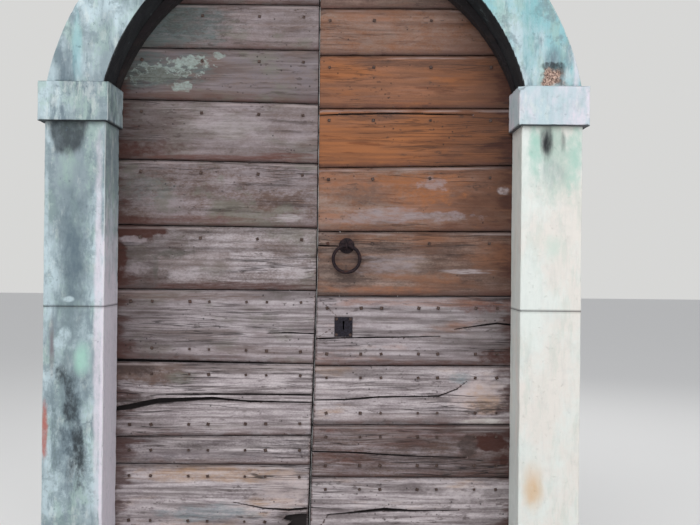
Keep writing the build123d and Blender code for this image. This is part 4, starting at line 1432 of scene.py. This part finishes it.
# The stains of the stone frame, by the part that they are on.
STONE_STAINS: dict[str, tuple[Stain, ...]] = {
    "left_jamb": (
        Stain((-0.865, 1.32), (0.10, 0.55), Tone.SLATE, 0.85, 1.2, 0.9, ROUGH_RUNS, 0.75),
        Stain((-0.86, 1.36), (0.07, 0.30), Tone.BLUE_GREY, 0.95, 1.5, 1.0, ROUGH_RUNS, 0.75),
        Stain((-0.885, 1.80), (0.082, 0.10), Tone.STONE_BLACK, 0.9, 0.7, 0.35, UPRIGHT_RUNS, 0.8),
        Stain((-0.89, 1.67), (0.05, 0.08), Tone.STONE_GREEN, 0.6, 1.8, 0.9, ROUGH_RUNS),
        Stain((-0.87, 0.85), (0.10, 0.40), Tone.SLATE, 0.8, 1.6, 0.9, ROUGH_RUNS, 0.7),
        Stain((-0.86, 0.72), (0.07, 0.26), Tone.BLUE_GREY, 0.9, 1.8, 0.9, ROUGH_RUNS, 0.7),
        Stain((-0.922, 0.72), (0.016, 0.14), Tone.GREEN_GREY, 0.6, 1.8, 0.8, ROUGH_RUNS),
        Stain((-0.87, 0.80), (0.04, 0.14), Tone.STONE_BLACK, 0.9, 2.4, 0.8, ROUGH_RUNS, 0.4),
        Stain((-0.84, 0.65), (0.045, 0.16), Tone.STONE_BLACK, 0.95, 2.2, 0.8, ROUGH_RUNS, 0.4),
        Stain((-0.905, 0.925), (0.025, 0.05), Tone.STONE_BLACK, 0.85, 2.4, 0.7, ROUGH_RUNS, 0.3),
        Stain((-0.826, 0.983), (0.042, 0.08), Tone.MINT, 0.9, 0.8, 0.7, ROUGH_RUNS, 0.8),
        Stain((-0.898, 1.04), (0.035, 0.06), Tone.PALE_BLUE, 0.85, 2.8, 0.6, ROUGH_RUNS),
        Stain((-0.88, 1.197), (0.026, 0.013), Tone.PALE_BLUE, 0.9, 1.2, 0.6, ROUGH_RUNS, 0.8),
        Stain((-0.937, 1.02), (0.016, 0.14), Tone.DIM_MAUVE, 0.85, 1.4, 0.8, THIN_RUNS, 0.6),
        Stain((-0.772, 1.10), (0.02, 0.9), Tone.LILAC, 0.75, 0.9, 0.7, ROUGH_RUNS, 0.7),
        Stain((-0.962, 1.40), (0.014, 0.45), Tone.PALE_BLUE, 0.7, 0.9, 0.7, ROUGH_RUNS),
        # Painted light: this near-white lilac strip lightens the left reveal, which faces away from the key
        # lamp.
        Stain((-0.75, 0.75), (0.018, 0.9), Tone.LILAC, 0.95, 0.8, 0.5, ROUGH_RUNS, 0.8, 0.8),
        Stain((-0.962, 0.72), (0.019, 0.12), Tone.STONE_RED, 0.9, 1.2, 0.5, ROUGH_RUNS, 0.7, 0.05),
    ),
    "right_jamb": (
        Stain((0.87, 1.74), (0.15, 0.24), Tone.STONE_GREEN, 0.75, 1.6, 0.9, ROUGH_RUNS, 0.7),
        Stain((0.80, 1.74), (0.04, 0.14), Tone.MINT, 0.75, 1.6, 0.9, ROUGH_RUNS, 0.7),
        Stain((0.94, 1.72), (0.04, 0.16), Tone.MINT, 0.65, 1.6, 0.9, ROUGH_RUNS, 0.7),
        Stain((0.87, 1.40), (0.05, 0.07), Tone.MINT, 0.35, 1.2, 0.9, ROUGH_RUNS, 0.7),
        Stain((0.842, 1.785), (0.03, 0.08), Tone.STONE_BLACK, 0.9, 1.0, 0.6, THIN_RUNS, 0.7),
        Stain((0.842, 1.775), (0.018, 0.05), Tone.SOOT_AND_SHADE, 0.8, 0.8, 0.6, THIN_RUNS, 0.7),
        Stain((0.90, 1.78), (0.016, 0.07), Tone.STONE_BLACK, 0.55, 1.4, 0.8, THIN_RUNS, 0.5),
        Stain((0.87, 1.68), (0.06, 0.07), Tone.SLATE, 0.35, 2.0, 0.9, THIN_RUNS),
        Stain((0.803, 0.54), (0.05, 0.11), Tone.STONE_ORANGE, 0.95, 0.8, 0.9, UPRIGHT_RUNS, 0.8),
        Stain((0.80, 0.60), (0.07, 0.14), Tone.LIMESTONE_WARM, 0.5, 1.2, 0.9, UPRIGHT_RUNS, 0.8),
    ),
    "left_arch": (
        Stain((-0.95, 1.97), (0.04, 0.16), Tone.PALE_BLUE, 0.8, 1.0, 0.9, ROUGH_RUNS, 0.7),
        Stain((-0.89, 2.02), (0.035, 0.14), Tone.BLUE_GREY, 0.6, 2.0, 0.8, THIN_RUNS, 0.4),
        Stain((-0.86, 1.93), (0.10, 0.05), Tone.PALE_BLUE, 0.7, 1.4, 0.9, ROUGH_RUNS, 0.7),
        Stain((-0.855, 2.10), (0.03, 0.16), Tone.TURQUOISE, 0.65, 1.8, 0.8, THIN_RUNS, 0.6),
        Stain((-0.62, 2.36), (0.24, 0.20), Tone.SLATE, 0.75, 1.6, 1.0, ROUGH_RUNS, 0.7),
        Stain((-0.76, 2.16), (0.05, 0.16), Tone.SLATE, 0.5, 1.8, 0.9, THIN_RUNS, 0.6),
    ),
    "right_arch": (
        Stain((0.78, 2.20), (0.05, 0.22), Tone.STONE_TEAL, 0.6, 1.8, 0.9, THIN_RUNS, 0.6),
        Stain((0.62, 2.38), (0.10, 0.12), Tone.STONE_TEAL, 0.55, 1.8, 0.9, THIN_RUNS, 0.6),
        Stain((0.86, 2.085), (0.04, 0.07), Tone.BLUE_GREY, 0.75, 1.8, 0.8, THIN_RUNS, 0.5),
        Stain((0.857, 2.055), (0.05, 0.018), Tone.STONE_BLACK, 0.9, 2.6, 0.4, THIN_RUNS, 0.4),
        Stain((0.945, 2.06), (0.02, 0.26), Tone.LILAC, 0.7, 1.0, 0.8, ROUGH_RUNS, 0.7),
    ),
}


@dataclass
class Leaf:
    """One leaf of the door: boards, inner planks and nails.

    The swells are how far the wet has moved each leaf's meeting edge along X, and the seeds are where
    the patterns of its boards start. Nail heads with a Y below the street's depth are in the boards.
    """

    side: Side
    left_swell: float = 0.0024
    right_swell: float = -0.0015
    left_seed: float = 0.0
    right_seed: float = 40.0
    street_depth: float = 0.05
    planks: int = 4
    plank_along: float = 0.02
    plank_across: float = 0.008

    @property
    def body(self) -> str:
        """The body that the leaf's pieces move with."""
        return f"{self.side.value}_leaf"

    @property
    def swollen(self) -> float:
        """How far the wet has swollen the inner planks' meeting edge, along X."""
        return self.left_swell if self.side is Side.LEFT else self.right_swell

    def finishes(self) -> list[TimberFinish]:
        """Put together the finish of each board, from the foot up.

        Returns:
            The finishes.
        """
        if self.side is Side.LEFT:
            looks, stains, seed = LEFT_LOOKS, LEFT_STAINS, self.left_seed
        else:
            looks, stains, seed = RIGHT_LOOKS, RIGHT_STAINS, self.right_seed
        return [
            TimberFinish(
                **asdict(look),
                checks=0.95 - 0.07 * number,
                seed=seed + 1.7 * number,
                stains=stains.get(number + 1, ()),
            )
            for number, look in enumerate(looks)
        ]

    def wear(self, number: int) -> Wear:
        """How worn a board is: the lower ones catch the rain that splashes up.

        Args:
            number: The board's number from the foot up, from 0.

        Returns:
            The wear.
        """
        splash = max(0.0, 1.0 - number / 6)
        return Wear(ridge=0.0005 + 0.0014 * splash, ripple=0.0007 + 0.0008 * splash)

    def boards(self, nails: list[Vector]) -> list[Object]:
        """Make the horizontal boards on the street's side.

        Args:
            nails: The middles of the nail heads in them.

        Returns:
            The pieces.
        """
        side, pieces = self.side.value, []
        for number, finish in enumerate(self.finishes()):
            node = f"{side}_board_{number + 1:02d}"
            low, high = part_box(node)
            own = [nail for nail in nails if low.z < nail.z < high.z]
            wear, slot = self.wear(number), f"{side}_boards"
            pieces.append(Timber(node, self.body, finish, wear, Facing.STREET, slot, own).build())
        return pieces

    def inner_planks(self) -> list[Object]:
        """Make the upright planks that the boards are nailed to.

        Returns:
            The pieces.
        """
        tones = (Tone.PLANK_LIGHT, Tone.PLANK_DARK, Tone.DRIED_BROWN)
        finish = TimberFinish(*tones, bleach=0.0, grain=Grain.UPRIGHT, roughness=0.82)
        steps = {"along_step": self.plank_along, "across_step": self.plank_across}
        wear, slot, pieces = Wear(), "inner_planks", []
        for number in range(1, self.planks + 1):
            node = f"{self.side.value}_plank_{number}"
            swell = self.swollen if number == 1 else 0.0
            plank = Timber(node, self.body, finish, wear, Facing.ROOM, slot, swell=swell, **steps)
            pieces.append(plank.build())
        return pieces

    def build(self) -> list[Object]:
        """Make the leaf's nails and timber.

        Returns:
            The pieces.
        """
        nails = Nails(f"{self.side.value}_nails", self.body)
        street = [place for place in nails.places() if place.y < self.street_depth]
        return [nails.build(), *self.boards(street), *self.inner_planks()]


@dataclass
class Surround:
    """The stone frame, the timber rim under its arch and the threshold.

    The seeds are how far the wear of each piece starts from that of the one before.
    """

    stone_seed: float = 4.3
    rim_seed: float = 2.9

    def finishes(self) -> dict[str, StoneFinish]:
        """Put together the finish of each stone.

        Returns:
            The finishes, by node.
        """
        stains = STONE_STAINS
        arch_left = StoneFinish(
            Tone.PALE_BLUE, Tone.LIMESTONE_GREY, Tone.BLUE_GREY, 0.7, 3.1, stains["left_arch"], washed=0.3
        )
        arch_right = StoneFinish(
            Tone.TURQUOISE, Tone.PALE_BLUE, Tone.BLUE_GREY, 0.6, 7.4, stains["right_arch"], washed=0.2
        )
        grey = StoneFinish(
            Tone.LIMESTONE_GREY, Tone.PALE_BLUE, Tone.BLUE_GREY, 0.6, 1.2, stains["left_jamb"], washed=0.3
        )
        cream = StoneFinish(
            Tone.LIMESTONE, Tone.LIMESTONE_WARM, Tone.STONE_GREEN, 0.2, 5.2, stains["right_jamb"],
            dirt=0.1, washed=0.3,
        )
        block = StoneFinish(Tone.PALE_BLUE, Tone.LIMESTONE_GREY, Tone.BLUE_GREY, 0.8, 9.0, washed=0.3)
        return {
            "threshold": StoneFinish(Tone.LIMESTONE_GREY, Tone.LIMESTONE_WARM, Tone.BLUE_GREY, 0.5, 2.0),
            "left_lower_jamb": grey,
            "left_upper_jamb": grey,
            "left_impost": block,
            "right_lower_jamb": cream,
            "right_upper_jamb": cream,
            "right_impost": StoneFinish(
                Tone.PALE_BLUE, Tone.LILAC, Tone.TURQUOISE, 0.3, 6.0, dirt=0.25, washed=0.3
            ),
            "left_arch_stone": arch_left,
            "right_arch_stone": arch_right,
        }

    def build(self) -> list[Object]:
        """Make the stones and the rim.

        Returns:
            The pieces.
        """
        pieces = []
        for number, (node, finish) in enumerate(self.finishes().items()):
            kind = ArchStone if "arch" in node else Stone
            pieces.append(kind(node, finish, seed=self.stone_seed * number).build())
        # Painted shade: the rim's near-black tones stand for the shade under the arch.
        rim = TimberFinish(Tone.RIM_SHADE_LIGHT, Tone.RIM_SHADE_DARK, Tone.DEEP_BROWN, 0.2, bleach=0.0)
        for number, node in enumerate(("left_rim", "right_rim")):
            pieces.append(Rim(node, rim, seed=self.rim_seed * number).build())
        return pieces


@dataclass
class Ironwork:
    """Hinges, ring pull, lock and slide bolts."""

    riders: tuple[tuple[str, str], ...] = (
        ("left_pintles", "surround"),
        ("right_pintles", "surround"),
        ("top_rod_bracket", "surround"),
        ("left_hinge_straps", "left_leaf"),
        ("right_hinge_straps", "right_leaf"),
        ("rod_guides", "left_leaf"),
        ("lock_keeper", "left_leaf"),
        ("ring_eye", "right_leaf"),
        ("ring_plate", "right_leaf"),
        ("key_plate", "right_leaf"),
        ("lock_case", "right_leaf"),
        ("lock_spring", "right_leaf"),
        ("pull_ring", "pull_ring"),
        ("lock_bolt", "lock_bolt"),
        ("top_rod", "top_rod"),
        ("bottom_rod", "bottom_rod"),
    )

    def build(self) -> list[Object]:
        """Make each forging.

        Returns:
            The pieces.
        """
        plate = IronFinish(Tone.IRON_BLACK, Tone.IRON_BLUE, 0.68)
        return [
            Forging(node, body, plate if node == "key_plate" else IronFinish()).build()
            for node, body in self.riders
        ]


@dataclass(frozen=True)
class Lamp:
    """A soft rectangular lamp: its place and its width and height in metres, its power in watts."""

    name: str
    place: Point
    size: Pair
    power: float

    def hang(self, target: Point) -> None:
        """Hang the lamp.

        Args:
            target: The place that it points at.
        """
        data = bpy.data.lights.new(self.name, "AREA")
        data.shape = "RECTANGLE"
        data.size, data.size_y = self.size
        data.energy = self.power
        lamp = bpy.data.objects.new(self.name, data)
        lamp.location = self.place
        aim = Vector(target) - Vector(self.place)
        lamp.rotation_euler = aim.to_track_quat("-Z", "Y").to_euler()
        bpy.context.scene.collection.objects.link(lamp)


@dataclass
class Studio:
    """The camera at the photograph's place, the floor and the lights.

    Places and the floor's size are in metres, the roll in degrees, the lens and the sensor in
    millimetres.
    """

    camera_place: Point = (0.1354, -3.135, 1.340)
    roll: float = -0.58
    lens: float = 42.8
    sensor: float = 36.0
    floor_size: float = 60.0
    lamps: tuple[Lamp, ...] = (
        Lamp("key", (-1.2, -3.8, 5.4), (4.0, 3.0), 165.0),
        Lamp("fill", (4.2, -7.4, 3.4), (4.0, 4.0), 140.0),
        Lamp("back", (1.4, 4.6, 4.4), (4.0, 3.0), 72.0),
    )
    lit_place: Point = (0.0, 0.0, 1.4)
    room_colour: Colour = (0.93, 0.95, 1.0, 1.0)
    room_strength: float = 0.55
    backdrop: Colour = (0.68, 0.68, 0.67, 1.0)

    def build(self) -> None:
        """Make the camera, the floor, the lamps and the world."""
        self.camera()
        self.floor()
        for lamp in self.lamps:
            lamp.hang(self.lit_place)
        self.world()
        bpy.context.scene.view_settings.view_transform = "Standard"

    def camera(self) -> None:
        """Place the camera level, turned a little about its own axis."""
        data = bpy.data.cameras.new("camera")
        data.lens = self.lens
        data.sensor_width = self.sensor
        camera = bpy.data.objects.new("camera", data)
        camera.location = self.camera_place
        camera.rotation_euler = Euler((radians(90.0), radians(self.roll), 0.0))
        bpy.context.scene.collection.objects.link(camera)
        bpy.context.scene.camera = camera

    def floor(self) -> None:
        """Lay the plain floor that the door stands on."""
        mesh = bmesh.new()
        bmesh.ops.create_grid(mesh, x_segments=8, y_segments=8, size=self.floor_size / 2)
        data = bpy.data.meshes.new("floor")
        mesh.to_mesh(data)
        mesh.free()
        data.materials.append(GroundFinish().material("floor_finish"))
        floor = bpy.data.objects.new("floor", data)
        bpy.context.scene.collection.objects.link(floor)

    def world(self) -> None:
        """Fill the room with even pale light, and show a pale backdrop to the camera."""
        world = bpy.data.worlds.new("room")
        world.use_nodes = True
        bpy.context.scene.world = world
        nodes, links = world.node_tree.nodes, world.node_tree.links
        room = nodes["Background"]
        room.inputs["Color"].default_value = self.room_colour
        room.inputs["Strength"].default_value = self.room_strength
        backdrop = nodes.new("ShaderNodeBackground")
        backdrop.inputs["Color"].default_value = self.backdrop
        rays = nodes.new("ShaderNodeLightPath")
        seen = nodes.new("ShaderNodeMath")
        seen.operation = "MAXIMUM"
        links.new(rays.outputs["Is Camera Ray"], seen.inputs[0])
        links.new(rays.outputs["Is Glossy Ray"], seen.inputs[1])
        mix = nodes.new("ShaderNodeMixShader")
        links.new(seen.outputs[0], mix.inputs[0])
        links.new(room.outputs[0], mix.inputs[1])
        links.new(backdrop.outputs[0], mix.inputs[2])
        links.new(mix.outputs[0], nodes["World Output"].inputs["Surface"])


def main() -> None:
    """Build the studio and the door, piece by piece, and report each."""
    logging.basicConfig(level=logging.INFO, format="%(message)s")
    Studio().build()
    for part in (Surround(), Leaf(Side.LEFT), Leaf(Side.RIGHT), Ironwork()):
        for piece in part.build():
            log.info("%s: %d faces", piece.name, len(piece.data.polygons))


if __name__ == "__main__":
    main()
